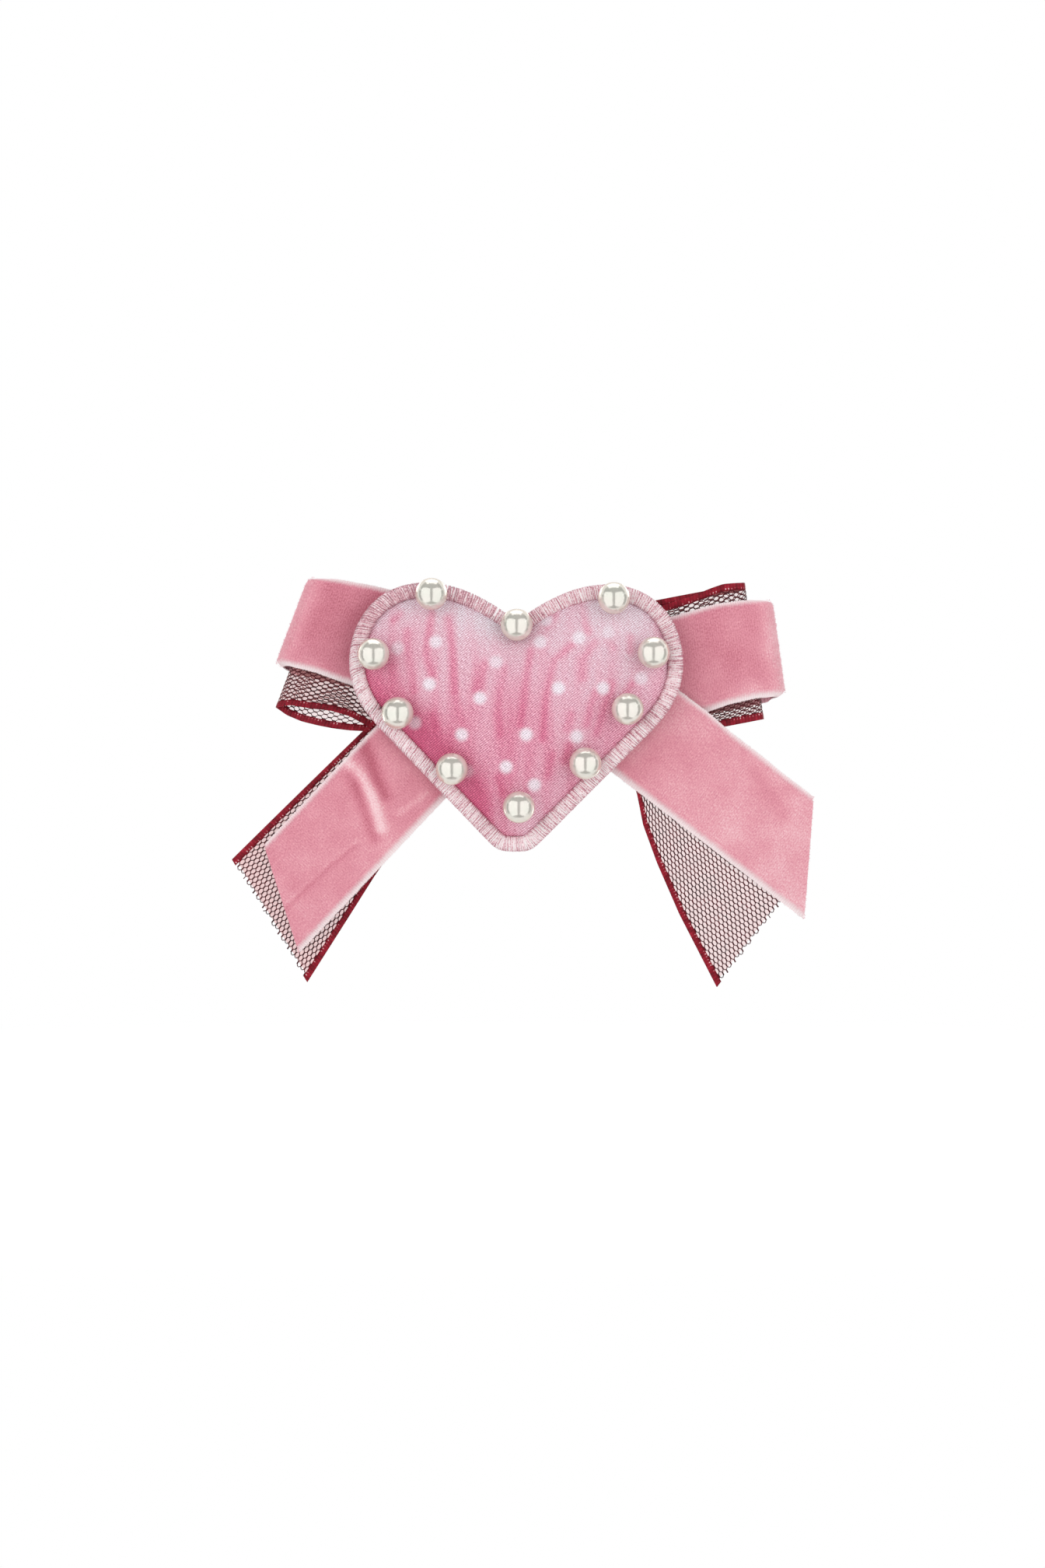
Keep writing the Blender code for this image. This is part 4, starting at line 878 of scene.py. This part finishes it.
# Creases: a line, its width, its tone on the pile, painted highlight where positive and painted shade where
# negative, how high it stands
LEFT_CREASES = (
    (((-38.1, -19.2), (-36.3, -23.2), (-35.1, -27.7), (-32.9, -32.1)), 1.8, -0.27, -0.4),
    (((-42.3, -23.7), (-38.3, -27.7), (-35.8, -32.6), (-33.9, -40.1)), 1.6, 0.32, 0.55),
    (((-41.1, -26.7), (-39.1, -32.1), (-37.3, -37.1), (-35.3, -42.6)), 1.6, -0.22, -0.3),
    (((-40.1, -43.6), (-49, -51), (-58, -59.5)), 0.6, 0.14, 0.2),
    (((-40.6, -44.6), (-49.6, -52.1), (-58.5, -60.7)), 0.9, -0.14, -0.18),
    (((-22.4, -31.4), (-25.6, -34.1), (-29.4, -36.6)), 0.9, 0.12, 0.2),
)
RIGHT_CREASES = ((((57.1, -22.2), (66.9, -37)), 2.2, -0.08, -0.3),)
# Side, start, length, fall and cut of each tail
TAILS = {
    "velvet_tail_left": (-1, (0.0, 4.0), 85.6, 46.5, 28.9),
    "velvet_tail_right": (1, (4.0, 4.9), 87.3, 36.8, 34.0),
    "net_tail_left": (-1, (-5.6, 3.5), 88.0, 49.9, 18.6),
    "net_tail_right": (1, (17.3, 10.0), 88.0, 59.5, 22.0),
}


def bow():
    """Loops first, then tails, velvet before net."""
    # The last two numbers of each loop: painted sheen at its fold and lower strip, and painted shade towards the
    # heart
    for name, loop, steps, edges, corners, paler, darker in (
        ("left", LEFT_LOOP, 150, LEFT_VELVET_SIDES, (1.6, 3.0), 0.2, 0.09),
        ("right", RIGHT_LOOP, 170, RIGHT_VELVET_SIDES, (1.4, 2.6), 0.25, 0.04),
    ):
        shape = Loop(
            *loop, DEPTH["velvet_loop"], VELVET_WIDTH, edges=edges, corners=corners, paler=paler, darker=darker
        )
        velvet_ribbon("velvet_loop_" + name, shape, steps)
    for name, loop, steps, setback, drop, edges, film in (
        ("left", LEFT_LOOP, 110, 3.6, 4.8, LEFT_NET_SIDES, VOILE_SINGLE),
        ("right", RIGHT_LOOP, 120, 6.0, 0.0, RIGHT_NET_SIDES, VOILE_THIN),
    ):
        shape = Loop(*loop, DEPTH["net_loop"], NET_WIDTH, setback, drop, edges)
        net_ribbon("net_loop_" + name, shape, steps, film)
    # The pile's tone at a tail's start and end is painted light: lighter towards the end, darker near the heart as
    # painted shade
    for name, looks in (
        ("velvet_tail_left", {"creases": LEFT_CREASES, "brushed": (0.0, 0.04)}),
        ("velvet_tail_right", {"edges": RIGHT_TAIL_SIDES, "creases": RIGHT_CREASES, "brushed": (-0.02, 0.15)}),
    ):
        velvet_ribbon(name, Tail(*TAILS[name], DEPTH[name], VELVET_WIDTH, **looks), 150)
    for name, edges, film in (
        ("net_tail_left", LEFT_NET_TAIL_SIDES, VOILE_DOUBLE),
        ("net_tail_right", RIGHT_NET_TAIL_SIDES, VOILE),
    ):
        net_ribbon(name, Tail(*TAILS[name], DEPTH[name], NET_WIDTH, NET_GATHERED, edges), 80, film)


# Heart


def heart_half(steps):
    """The right half of the heart's outline, from cleft to tip."""
    lobe_top, widest, tip = (22.6, 20.8), (41.7, 0.8), (0.0, -46.2)
    flank_top = np.array((33.8, -15.9))
    flank_end = np.array((7.1, -43.2))
    flank = flank_end - flank_top
    knots = (
        ((0.0, 11.8), (2.26, 12.7), (11.3, 20.8), lobe_top),
        (lobe_top, (34.44, 20.8), (41.7, 12.0), widest),
        (widest, (41.7, -6.7), flank_top - 0.14 * flank, flank_top),
        (flank_top, flank_top + 0.3 * flank, flank_end - 0.3 * flank, flank_end),
        (flank_end, flank_end + 0.1 * flank, (3.55, -46.2), tip),
    )
    t = np.linspace(0.0, 1.0, steps, endpoint=False)[:, None]
    shares = ((1 - t) ** 3, 3 * (1 - t) ** 2 * t, 3 * (1 - t) * t**2, t**3)
    curves = [sum(share * np.array(knot) for share, knot in zip(shares, curve)) for curve in knots]
    return np.concatenate(curves + [np.array([tip])])


def heart_outline(inset, count):
    """The whole outline as this many evenly spaced points, moved in by this distance, with its outward normals
    and its length."""
    right = heart_half(60)
    whole = np.concatenate([right, right[-2:0:-1] * (-1, 1)])
    closed = np.concatenate([whole, whole[:1]])
    along = np.concatenate([[0.0], np.cumsum(np.hypot(*np.diff(closed, axis=0).T))])
    at = np.linspace(0.0, along[-1], count, endpoint=False)
    points = np.stack([np.interp(at, along, closed[:, k]) for k in (0, 1)], -1)
    run = np.roll(points, -1, 0) - np.roll(points, 1, 0)
    outward = np.stack([-run[:, 1], run[:, 0]], -1)
    outward /= np.hypot(*outward.T)[:, None]
    cos, sin = math.cos(HEART_TILT), math.sin(HEART_TILT)
    turn = np.array(((cos, -sin), (sin, cos)))
    return (points - outward * inset) @ turn, outward @ turn, along[-1]


def pearl_centers():
    corners = [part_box(f"pearl_{number}") for number in range(1, 11)]
    return np.array([(low + high) / 2 for low, high in corners]) / MM


# Cloth is simulated at ten times its size
CLOTH_SCALE = 10.0
CUSHION_INSET = 2.2
CUSHION_POINTS = 120
CUSHION_SHARES = (0.97, 0.93, 0.88, 0.81, 0.72, 0.61, 0.48, 0.33, 0.17)
CUSHION_ROUND = 0.9
CUSHION_VOXEL = 0.9
SATIN_CLOTH = {
    "quality": 6,
    "mass": 0.3,
    "tension_stiffness": 12.0,
    "compression_stiffness": 12.0,
    "bending_stiffness": 0.6,
    "use_pressure": True,
    "uniform_pressure_force": 4.0,
    "vertex_group_mass": "held",
}
FILL_MOMENTS = 20
FILL_MOST = 1.3
# How far from the rim and from a pearl's middle the cushion is held, and over what distance that lets go
RIM_HELD = (3.0, 2.5)
TACK_HELD = (3.2, 2.6)
# Soft white dots of the print: a place on the heart and how strong each is
DOTS = (
    (-29.5, 4.5, 0.45), (-20, 6, 0.75), (-5, 1, 0.6), (-21.5, -4.5, 0.82), (-9, -8, 0.82),
    (-13.5, -17, 0.82), (2.5, -17, 0.85), (-2.5, -25, 0.85), (4.5, -29.5, 0.82), (15, -17.5, 0.8),
    (10.5, -5.5, 0.85), (21.5, -5.5, 0.8), (31, -3, 0.6), (15.5, 7, 0.7), (6, 6, 0.7),
    (7.5, 11.5, 0.6), (23, 8.5, 0.45), (-25.2, -14, 0.5), (-12.2, -26, 0.3),
)
# Darker streaks of the print: a line, its width and how much deeper it is
STREAKS = (
    (((-21, 13), (-22, 7), (-22.5, 3), (-21, -2)), 1.2, 0.24),
    (((-17, 12), (-16, 4.5), (-15.5, -0.5), (-15, -6.5)), 1.2, 0.24),
    (((-27, 8.5), (-27, 4.5), (-26, -2), (-25.5, -6)), 1.2, 0.16),
    (((-8, 0), (-9.5, -5.5)), 1.7, 0.2),
    (((-3, -0.5), (-4, -6.5), (-4.5, -12), (-4, -17)), 1.1, 0.14),
    (((-29, 13), (-30.5, 11.5)), 1.1, 0.2),
    (((-15, -6.5), (-14, -11.5), (-13, -16.5)), 1.1, 0.16),
    (((-30.5, 0), (-29, -6.5)), 1.7, 0.12),
    (((16, 16.5), (17, 10.5), (18, 8.5)), 1.2, 0.2),
    (((10, 13), (8, 10)), 1.2, 0.15),
    (((3.5, 3.5), (2.5, -2), (2, -7.5), (1, -14.5)), 1.2, 0.2),
    (((13.5, 5), (9.5, 1.5), (8.5, -3), (7.5, -8), (6.5, -18)), 1.1, 0.2),
    (((19.5, 6), (16.5, 1.5), (16.5, -3)), 1.2, 0.17),
    (((22.5, 6), (24, 4.5)), 1, 0.12),
    (((28.5, 7), (28.5, 4)), 1.2, 0.2),
    (((19.5, -6.5), (18.5, -9.5), (17.5, -14.5)), 1.1, 0.2),
    (((28.5, -4.5), (27.5, -6.5)), 1.1, 0.2),
    (((24, -4.5), (22.5, -8.5), (20, -16.5)), 1.1, 0.14),
    (((13.5, -12), (12.5, -15.5)), 1.1, 0.14),
    (((-4.5, -27.5), (-3.5, -31.5)), 1.1, 0.18),
    (((-21, -12), (-20, -15)), 1.1, 0.12),
    (((-10, -29), (-10, -32)), 1.3, 0.12),
    (((13, -20), (12, -23.5)), 1.3, 0.2),
    (((9, -22), (8, -27)), 1.1, 0.15),
)
STREAK_STRENGTH = 1.25
OMBRE_MIDDLE = 0.4
OMBRE_RUN = 0.013
OMBRE_RUN_EASED = 0.0085
OMBRE_LEFT = 0.5
OMBRE_RIGHT = 0.07
OMBRE_RIM = 13.0
DOT_RADIUS = 1.55
DOT_SOFT = 0.75
# Where the ombre is deeper or paler than its run from top to tip: how much, where, and how wide and tall. The
# deeper spot at the lower left is a painted shadow beside a pearl
OMBRE_AND_SHADOW_SPOTS = (
    (-0.2, (-8.0, 11.0), (7.0, 6.0)),
    (0.12, (-26.0, 6.0), (8.0, 9.0)),
    # Painted shadow beside the lower left pearl
    (0.2, (-26.0, -18.0), (6.0, 6.0)),
    (0.05, (-10.0, -19.0), (12.0, 9.0)),
    (-0.34, (0.0, -41.0), (9.0, 7.0)),
)


def cushion():
    """The padded heart: drawn up from its outline ring by ring, then filled by a cloth simulation."""
    outline = heart_outline(CUSHION_INSET, CUSHION_POINTS)[0]
    heart = begin(bpy.ops.mesh.primitive_circle_add, "heart_cushion", vertices=len(outline), fill_type="NOTHING")
    set_points(heart, upright(outline, HEART_SEAT) * MM * CLOTH_SCALE)
    center = Vector((0.0, HEART_SEAT, DOME_TOP)) * MM * CLOTH_SCALE
    last, height = 1.0, 0.0
    with editing(heart, "EDGE"):
        for share in CUSHION_SHARES:
            rise = HEART_PUFF * (1 - share**2) ** CUSHION_ROUND
            bpy.ops.mesh.extrude_edges_move()
            bpy.ops.transform.resize(value=(share / last, 1.0, share / last), center_override=center)
            bpy.ops.transform.translate(value=(0.0, -(rise - height) * MM * CLOTH_SCALE, 0.0))
            last, height = share, rise
        bpy.ops.mesh.edge_face_add()
        bpy.ops.mesh.poke()
        bpy.ops.mesh.select_mode(type="EDGE")
        bpy.ops.mesh.select_all(action="DESELECT")
        bpy.ops.mesh.select_non_manifold()
        bpy.ops.mesh.edge_face_add()
        bpy.ops.mesh.select_all(action="SELECT")
        bpy.ops.mesh.normals_make_consistent(inside=False)
    voxel = CUSHION_VOXEL * MM * CLOTH_SCALE
    apply_modifier(heart, "REMESH", mode="VOXEL", voxel_size=voxel, use_smooth_shade=True)
    apply_modifier(heart, "SMOOTH", factor=0.5, iterations=6)
    fill_cushion(heart, outline)
    apply_modifier(heart, "SUBSURF", levels=1, render_levels=1)
    set_points(heart, points_of(heart) / CLOTH_SCALE)
    print_heart(heart, outline)
    smooth(heart)
    dress(heart, SATIN, "printed_satin", "heart_cover", "heart_padding")


def edge_distance(points, outline):
    """Distance of each place from the outline."""
    return np.array([np.hypot(*(outline - p).T).min() for p in points])


def fill_cushion(heart, outline):
    """Fills the cushion: its rim is sewn down and each pearl's tack holds it in."""
    before = points_of(heart)
    flat = before[:, [0, 2]] / MM / CLOTH_SCALE
    near = edge_distance(flat, outline)
    held = smooth_step((RIM_HELD[0] - near) / RIM_HELD[1])
    for pearl in pearl_centers():
        off = np.hypot(flat[:, 0] - pearl[0], flat[:, 1] - pearl[2])
        held = np.maximum(held, smooth_step((TACK_HELD[0] - off) / TACK_HELD[1]))
    # The flat back doesn't move at all
    held[before[:, 1] / MM / CLOTH_SCALE > HEART_SEAT - 0.5] = 1.0
    set_group(heart, "held", held)
    only(heart)
    cloth = heart.modifiers.new("cloth", "CLOTH")
    for key, value in SATIN_CLOTH.items():
        setattr(cloth.settings, key, value)
    cloth.settings.effector_weights.gravity = 0.0
    for moment in range(1, FILL_MOMENTS + 1):
        bpy.context.scene.frame_set(moment)
    bpy.ops.object.modifier_apply(modifier="cloth")
    bpy.context.scene.frame_set(1)
    moved = points_of(heart) - before
    reach = np.linalg.norm(moved, axis=1)
    most = FILL_MOST * MM * CLOTH_SCALE
    moved *= np.minimum(1.0, most / np.maximum(reach, 1e-9))[:, None]
    set_points(heart, before + moved)
    apply_modifier(heart, "SMOOTH", factor=0.5, iterations=3)


def print_heart(heart, outline):
    """Where the print's ombre is deep, with a painted shadow beside one pearl, and where its streaks and dots lie.
    """
    place = points_of(heart)[:, [0, 2]] / MM
    x, z = place.T
    near = edge_distance(place, outline)
    # Deeper from top to tip, less so below the middle
    tone = OMBRE_MIDDLE - OMBRE_RUN * z - OMBRE_RUN_EASED * np.maximum(-z - 12.0, 0.0)
    # Deepest along the left side, a little paler over the lower right
    left = smooth_step((8.0 - x) / 26.0) * smooth_step((14.0 - z) / 16.0)
    tone += OMBRE_LEFT * smooth_step((OMBRE_RIM - near) / OMBRE_RIM) * left
    tone -= OMBRE_RIGHT * smooth_step((x - 2.0) / 16.0) * smooth_step((3.0 - z) / 10.0)
    for deeper, (spot_x, spot_z), (wide, tall) in OMBRE_AND_SHADOW_SPOTS:
        tone += deeper * np.exp(-(((x - spot_x) / wide) ** 2) - ((z - spot_z) / tall) ** 2)
    streaked = np.zeros_like(x)
    for line, width, deeper in STREAKS:
        streaked = np.maximum(streaked, STREAK_STRENGTH * deeper * line_strength(x, z, line, width))
    set_values(heart, "ombre", np.clip(tone + streaked, 0.0, 1.0))
    dots = np.zeros_like(x)
    for dot_x, dot_z, strength in DOTS:
        off = np.hypot(x - dot_x, z - dot_z)
        dots = np.maximum(dots, strength * smooth_step((DOT_RADIUS + DOT_SOFT - off) / (2 * DOT_SOFT)))
    set_values(heart, "dots", dots)


STITCH_PITCH = 0.27
STITCH_RADIUS = 0.18
STITCH_ENDS = (-30.0, 210.0)
STITCH_THINNEST = 0.8
# Stitches lean over this many of their neighbours, more along the left side, each a little off that
STITCH_LEAN = 1.8
STITCH_LEAN_LEFT = 7.0
STITCH_LEAN_STRAY = 0.9
STITCH_STRAY = 0.25
STITCH_REACH_STRAY = 0.012
# Tones of the dark and the light strands, how far each strays, and over how many millimetres to the right they
# get deeper by one
STRAND_TONES = (-0.42, -0.04)
STRAND_STRAY = 0.16
STRAND_RUN = 900.0
# How much deeper they are over the heart's top, as painted shade, and where the thread dives in at the border's
# sides, darker there as painted shade
TOP_SHADE = 0.34
DIVE_SHADE = 0.28
DIVE_START = 1.6
DIVE_DEPTH = 0.9
CORE_RINGS, CORE_AROUND = 360, 20
CORE_WIDER = 1.02


def border_section(turns):
    """The border's section, a flat band with rounded sides: how far out and how far forward at each turn."""
    square = 0.72
    half = HEART_BORDER / 2 - STITCH_RADIUS
    return tuple(np.sign(v) * np.abs(v) ** square * half for v in (np.cos(turns), np.sin(turns)))


def border():
    """The embroidered edge: a padded core with stitches of thread laid close over it."""
    middle = HEART_BACK - HEART_BORDER / 2
    outline, outward, length = heart_outline(HEART_BORDER / 2, CORE_RINGS)
    rings = {"major_segments": CORE_RINGS, "minor_segments": CORE_AROUND}
    core = begin(bpy.ops.mesh.primitive_torus_add, "heart_border_core", **rings)
    out, forward = border_section(np.linspace(0.0, 2 * math.pi, CORE_AROUND, endpoint=False))
    flat = outline[:, None] + outward[:, None] * (out * CORE_WIDER)[None, :, None]
    set_points(core, upright(flat, middle - forward).reshape(-1, 3) * MM)
    with editing(core):
        bpy.ops.mesh.normals_make_consistent(inside=False)
    smooth(core)
    dress(core, UNDERLAY, "embroidery")
    count = int(length / STITCH_PITCH)
    outline, outward = heart_outline(HEART_BORDER / 2, count)[:2]
    turns = np.radians(np.linspace(*STITCH_ENDS, 10))
    out, forward = border_section(turns)
    stitches = []
    for index in range(count):
        left = smooth_step((-14.0 - outline[index, 0]) / 26.0)
        slant = STITCH_LEAN + STITCH_LEAN_LEFT * left + STITCH_LEAN_STRAY * draw.normal()
        reach = 1.0 + STITCH_REACH_STRAY * draw.normal()
        spots = index + STITCH_STRAY * draw.normal() + slant * (turns - math.pi / 2) / math.pi
        base = np.floor(spots).astype(int)
        part = (spots - base)[:, None]
        here, there = base % count, (base + 1) % count
        center, away = (line[here] + (line[there] - line[here]) * part for line in (outline, outward))
        flat = center + away * (out * reach)[:, None]
        stitches.append(upright(flat, middle - forward * reach))
    swell = np.sin(np.linspace(0.0, math.pi, len(turns))) ** 0.6
    taper = STITCH_THINNEST + (1 - STITCH_THINNEST) * swell
    laid = threads("heart_border_stitches", stitches, STITCH_RADIUS, 4, taper)
    # Dark and light strands by turns
    tones = np.array(STRAND_TONES)[np.arange(count) % 2] + draw.uniform(-STRAND_STRAY, STRAND_STRAY, count)
    # Painted shade: deeper over the heart's top, and where the thread dives in at the border's sides
    tones -= outline[:, 0] / STRAND_RUN + TOP_SHADE * smooth_step((outline[:, 1] - 6.0) / 12.0)
    diving_shade = smooth_step((DIVE_START - middle + points_of(laid)[:, 1] / MM) / DIVE_DEPTH)
    set_values(laid, "strand", np.repeat(tones, len(laid.data.vertices) // count) - DIVE_SHADE * diving_shade)
    dress(laid, EMBROIDERY, "embroidery", "heart_border")


BACKING_INSET = 4.2
BACKING_POINTS = 160
FELT_THICKNESS = 1.2
FELT_ROUNDING = 0.3


def backing():
    """The felt back of the heart."""
    outline = heart_outline(BACKING_INSET, BACKING_POINTS)[0]
    felt = begin(bpy.ops.mesh.primitive_circle_add, "heart_backing_felt", vertices=len(outline), fill_type="NGON")
    level = DEPTH["backing"] - FELT_THICKNESS / 2
    set_points(felt, upright(outline, level) * MM)
    face_front(felt)
    apply_modifier(felt, "SOLIDIFY", thickness=FELT_THICKNESS * MM, offset=-1.0)
    round_edges(felt, FELT_ROUNDING)
    dress(felt, FELT, "felt", "heart_backing")


PEARL_HOLE = 0.6
PEARL_HOLE_DEPTH = 2.5


def pearls():
    """Ten beads, each drilled at the back for its tack."""
    rounds = {"segments": 48, "ring_count": 24, "radius": PEARL_RADIUS * MM}
    model = begin(bpy.ops.mesh.primitive_uv_sphere_add, "pearl_model", **rounds)
    with editing(model, "VERT", lambda vert: vert.co.z < -0.999 * PEARL_RADIUS * MM):
        bpy.ops.mesh.bevel(offset=PEARL_HOLE * MM, affect="VERTICES")
        bpy.ops.mesh.select_mode(type="FACE")
        bpy.ops.mesh.extrude_region_move(TRANSFORM_OT_translate={"value": (0.0, 0.0, PEARL_HOLE_DEPTH * MM)})
        bpy.ops.mesh.select_all(action="SELECT")
        bpy.ops.transform.rotate(value=math.radians(90.0), orient_axis="X", center_override=(0.0, 0.0, 0.0))
    bpy.ops.object.shade_smooth_by_angle(angle=CRISP)
    shape = points_of(model)
    # The hole ends up at the back, whichever way the turn went
    if shape[np.linalg.norm(shape, axis=1) < 0.9 * PEARL_RADIUS * MM][:, 1].mean() < 0:
        set_points(model, shape * (1, -1, -1))
        shape = points_of(model)
    for number, center in enumerate(pearl_centers(), 1):
        bead = bpy.data.objects.new(f"pearl_{number}_bead", model.data.copy())
        bpy.context.scene.collection.objects.link(bead)
        set_points(bead, shape + center * MM)
        dress(bead, PEARL, "pearl", f"pearl_{number}")
    bpy.data.objects.remove(model)


# Clip, felt and stitches


def clip():
    """Steel pieces keep their solids and get their finish."""
    tacks = [f"pearl_tack_{number}" for number in range(1, 11)]
    plated = ("base_plate", "clasp_arm", "hinge_pin", "latch_rivet", *tacks)
    sprung = ("spring_bar", "latch_base", "latch_prong_upper", "latch_prong_lower")
    for names, paint in ((plated, NICKEL), (sprung, SPRING)):
        for name in names:
            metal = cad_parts[name].data.materials
            metal.clear()
            metal.append(paint)


def felt_pad():
    """The felt strip between the clip and the bow."""
    low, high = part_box("felt_pad")
    pad = begin(bpy.ops.mesh.primitive_cube_add, "felt_strip", size=1.0)
    set_points(pad, (points_of(pad) + 0.5) * (high - low) + np.array(low))
    apply_modifier(pad, "BEVEL", width=FELT_ROUNDING * MM, segments=3)
    dress(pad, FELT, "felt", "felt_pad")


KNOT_RADIUS = 0.7
KNOT_THREAD = 0.3
KNOT_TURNS = 2
# The coil starts this far in front of the stitch's back and rises this much with each radian of turn
KNOT_DEPTH = 0.35
KNOT_RISE = 0.02
POST_SHORT = 0.1


def stitches():
    """A knotted stitch at each end of the felt: a coil of thread at the back and a post through the layers."""
    for word in ("left", "right"):
        low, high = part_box(f"binding_stitch_{word}")
        center = (low + high) / 2 / MM
        back = high.y / MM
        turns = np.linspace(0.0, KNOT_TURNS * 2 * math.pi, 60)
        coil_x = center.x + KNOT_RADIUS * np.cos(turns)
        coil_z = center.z + KNOT_RADIUS * np.sin(turns)
        coil = np.stack([coil_x, back - KNOT_DEPTH + KNOT_RISE * turns, coil_z], -1)
        post = np.array([(center.x, low.y / MM, center.z), (center.x, back - POST_SHORT, center.z)])
        knot = threads(f"sewn_knot_{word}", [coil, post], KNOT_THREAD, 8)
        dress(knot, SEWING, "thread", f"binding_stitch_{word}")


# Light, floor and camera

# Light from the plain white studio around, and its lamps: place, size and power
AMBIENT = 0.3
SOFTBOXES = {
    "left softbox": ((-0.503, -0.530, -0.3), (0.99, 1.85), 7.6),
    "right softbox": ((0.503, -0.530, -0.3), (0.99, 1.85), 7.25),
    "top softbox": ((0.0, 0.16, 0.75), (0.7, 0.62), 2.4),
    "back left softbox": ((-0.8, 1.0, 0.1), (1.0, 1.2), 5.0),
    "back right softbox": ((0.8, 1.0, 0.1), (1.0, 1.2), 5.0),
}
WALL_BACK = -1.3
WALL_SIDE = 2.2
WALL_FOOT = -1.5
WALL_TOP = 0.8
# Ceiling, floor and two side walls: which edge of the wall each starts from, and how far it is drawn forward
WALL_DRAWN = (
    ((0, 0, 1), (0.0, 1.6, 0.35)),
    ((0, 0, -1), (0.0, 1.06, 0.0)),
    ((1, 0, 0), (0.0, 1.7, 0.0)),
    ((-1, 0, 0), (0.0, 1.7, 0.0)),
)
# The floor shows the object's shadow near it and fades to plain white farther off
FLOOR_NEAR = 0.12
FLOOR_FAR = 0.4
FLOOR_LIFT = 0.3
FLOOR_DROP = 0.03
FLOOR_SIZE = 6.0
LENS = 100.7
SENSOR = 36.0
VIEWPOINT = (0.00156, -1.112, -0.02925)


def studio():
    world = bpy.data.worlds.new("white studio")
    bpy.context.scene.world = world
    world.use_nodes = True
    tree = world.node_tree
    tree.nodes.clear()
    path = add(tree, "LightPath").outputs
    seen = add(tree, "Math", {0: path["Is Camera Ray"], 1: path["Is Glossy Ray"]}, operation="MAXIMUM")
    seen = add(tree, "Math", {0: seen, 1: path["Is Transmission Ray"]}, operation="MAXIMUM")
    level = add(tree, "MapRange", {0: seen, 3: AMBIENT, 4: 1.0})
    sky = add(tree, "Background", {"Color": linear("#FFFFFF"), "Strength": level})
    add(tree, "OutputWorld", {0: sky})
    for name, (spot, size, power) in SOFTBOXES.items():
        lamp = bpy.data.lights.new(name, "AREA")
        lamp.shape = "RECTANGLE"
        lamp.size, lamp.size_y = size
        lamp.energy = power
        holder = bpy.data.objects.new(name, lamp)
        holder.location = spot
        # The side lights stand upright and the top one hangs level
        facing = Vector((0.0, 0.0, -1.0)) if spot[0] == 0 else -Vector((spot[0], spot[1], 0.0))
        holder.rotation_euler = facing.to_track_quat("-Z", "Y").to_euler()
        bpy.context.scene.collection.objects.link(holder)


def dark_wall():
    """The dark walls, floor and ceiling behind the camera, seen only mirrored in what is glossy."""
    wall = begin(bpy.ops.mesh.primitive_plane_add, "dark_wall", size=1.0)
    corners = [(x, WALL_BACK, z) for z in (WALL_FOOT, WALL_TOP) for x in (-WALL_SIDE, WALL_SIDE)]
    set_points(wall, np.array(corners))
    for side, drawn in WALL_DRAWN:

        def beside(edge):
            ends = [wall.data.vertices[v].co for v in edge.vertices]
            return all(end.dot(side) > 0 and abs(end.y - WALL_BACK) < MM for end in ends)

        with editing(wall, "EDGE", beside):
            bpy.ops.mesh.extrude_edges_move(TRANSFORM_OT_translate={"value": drawn})
    finish, tree, shader = new_finish("dark studio wall", Base_Color=linear("#5C594B"), Roughness=1.0)
    path = add(tree, "LightPath").outputs
    clear = add(tree, "BsdfTransparent")
    shown = add(tree, "MixShader", {0: path["Is Glossy Ray"], 1: clear, 2: shader})
    feed(tree, tree.nodes["Material Output"], {0: shown})
    wall.data.materials.append(finish)


def floor():
    spot = (0.0, 0.0, CAD_BOX[0].z - FLOOR_DROP)
    ground = begin(bpy.ops.mesh.primitive_plane_add, "floor", size=FLOOR_SIZE, location=spot)
    finish, tree, shader = new_finish("white paper", Base_Color=linear("#F8F8F7"), Roughness=0.9)
    path = add(tree, "LightPath").outputs
    place = add(tree, "TexCoord").outputs["Object"]
    away = add(tree, "VectorMath", {0: place}, operation="LENGTH")
    near = {0: away.outputs["Value"], 1: FLOOR_NEAR, 2: FLOOR_FAR}
    fade = add(tree, "MapRange", near, interpolation_type="SMOOTHSTEP")
    lift = add(tree, "Emission", {"Strength": FLOOR_LIFT})
    lit = add(tree, "AddShader", {0: shader, 1: lift})
    white = add(tree, "Emission", {"Strength": 1.0})
    shown = add(tree, "MixShader", {0: fade, 1: lit, 2: white})
    mixed = add(tree, "MixShader", {0: path["Is Camera Ray"], 1: shader, 2: shown})
    # What is glossy sees through the floor, as if the object hung free in the studio
    clear = add(tree, "BsdfTransparent")
    mirrored = add(tree, "MixShader", {0: path["Is Glossy Ray"], 1: mixed, 2: clear})
    feed(tree, tree.nodes["Material Output"], {0: mirrored})
    ground.data.materials.append(finish)


def camera():
    lens = bpy.data.cameras.new("camera")
    lens.lens = LENS
    lens.sensor_width = SENSOR
    holder = bpy.data.objects.new("camera", lens)
    holder.location = VIEWPOINT
    holder.rotation_euler = (math.radians(90.0), 0.0, 0.0)
    bpy.context.scene.collection.objects.link(holder)
    bpy.context.scene.camera = holder
    bpy.context.scene.view_settings.view_transform = "Standard"


camera()
studio()
dark_wall()
floor()
bow()
cushion()
border()
backing()
pearls()
clip()
felt_pad()
stitches()
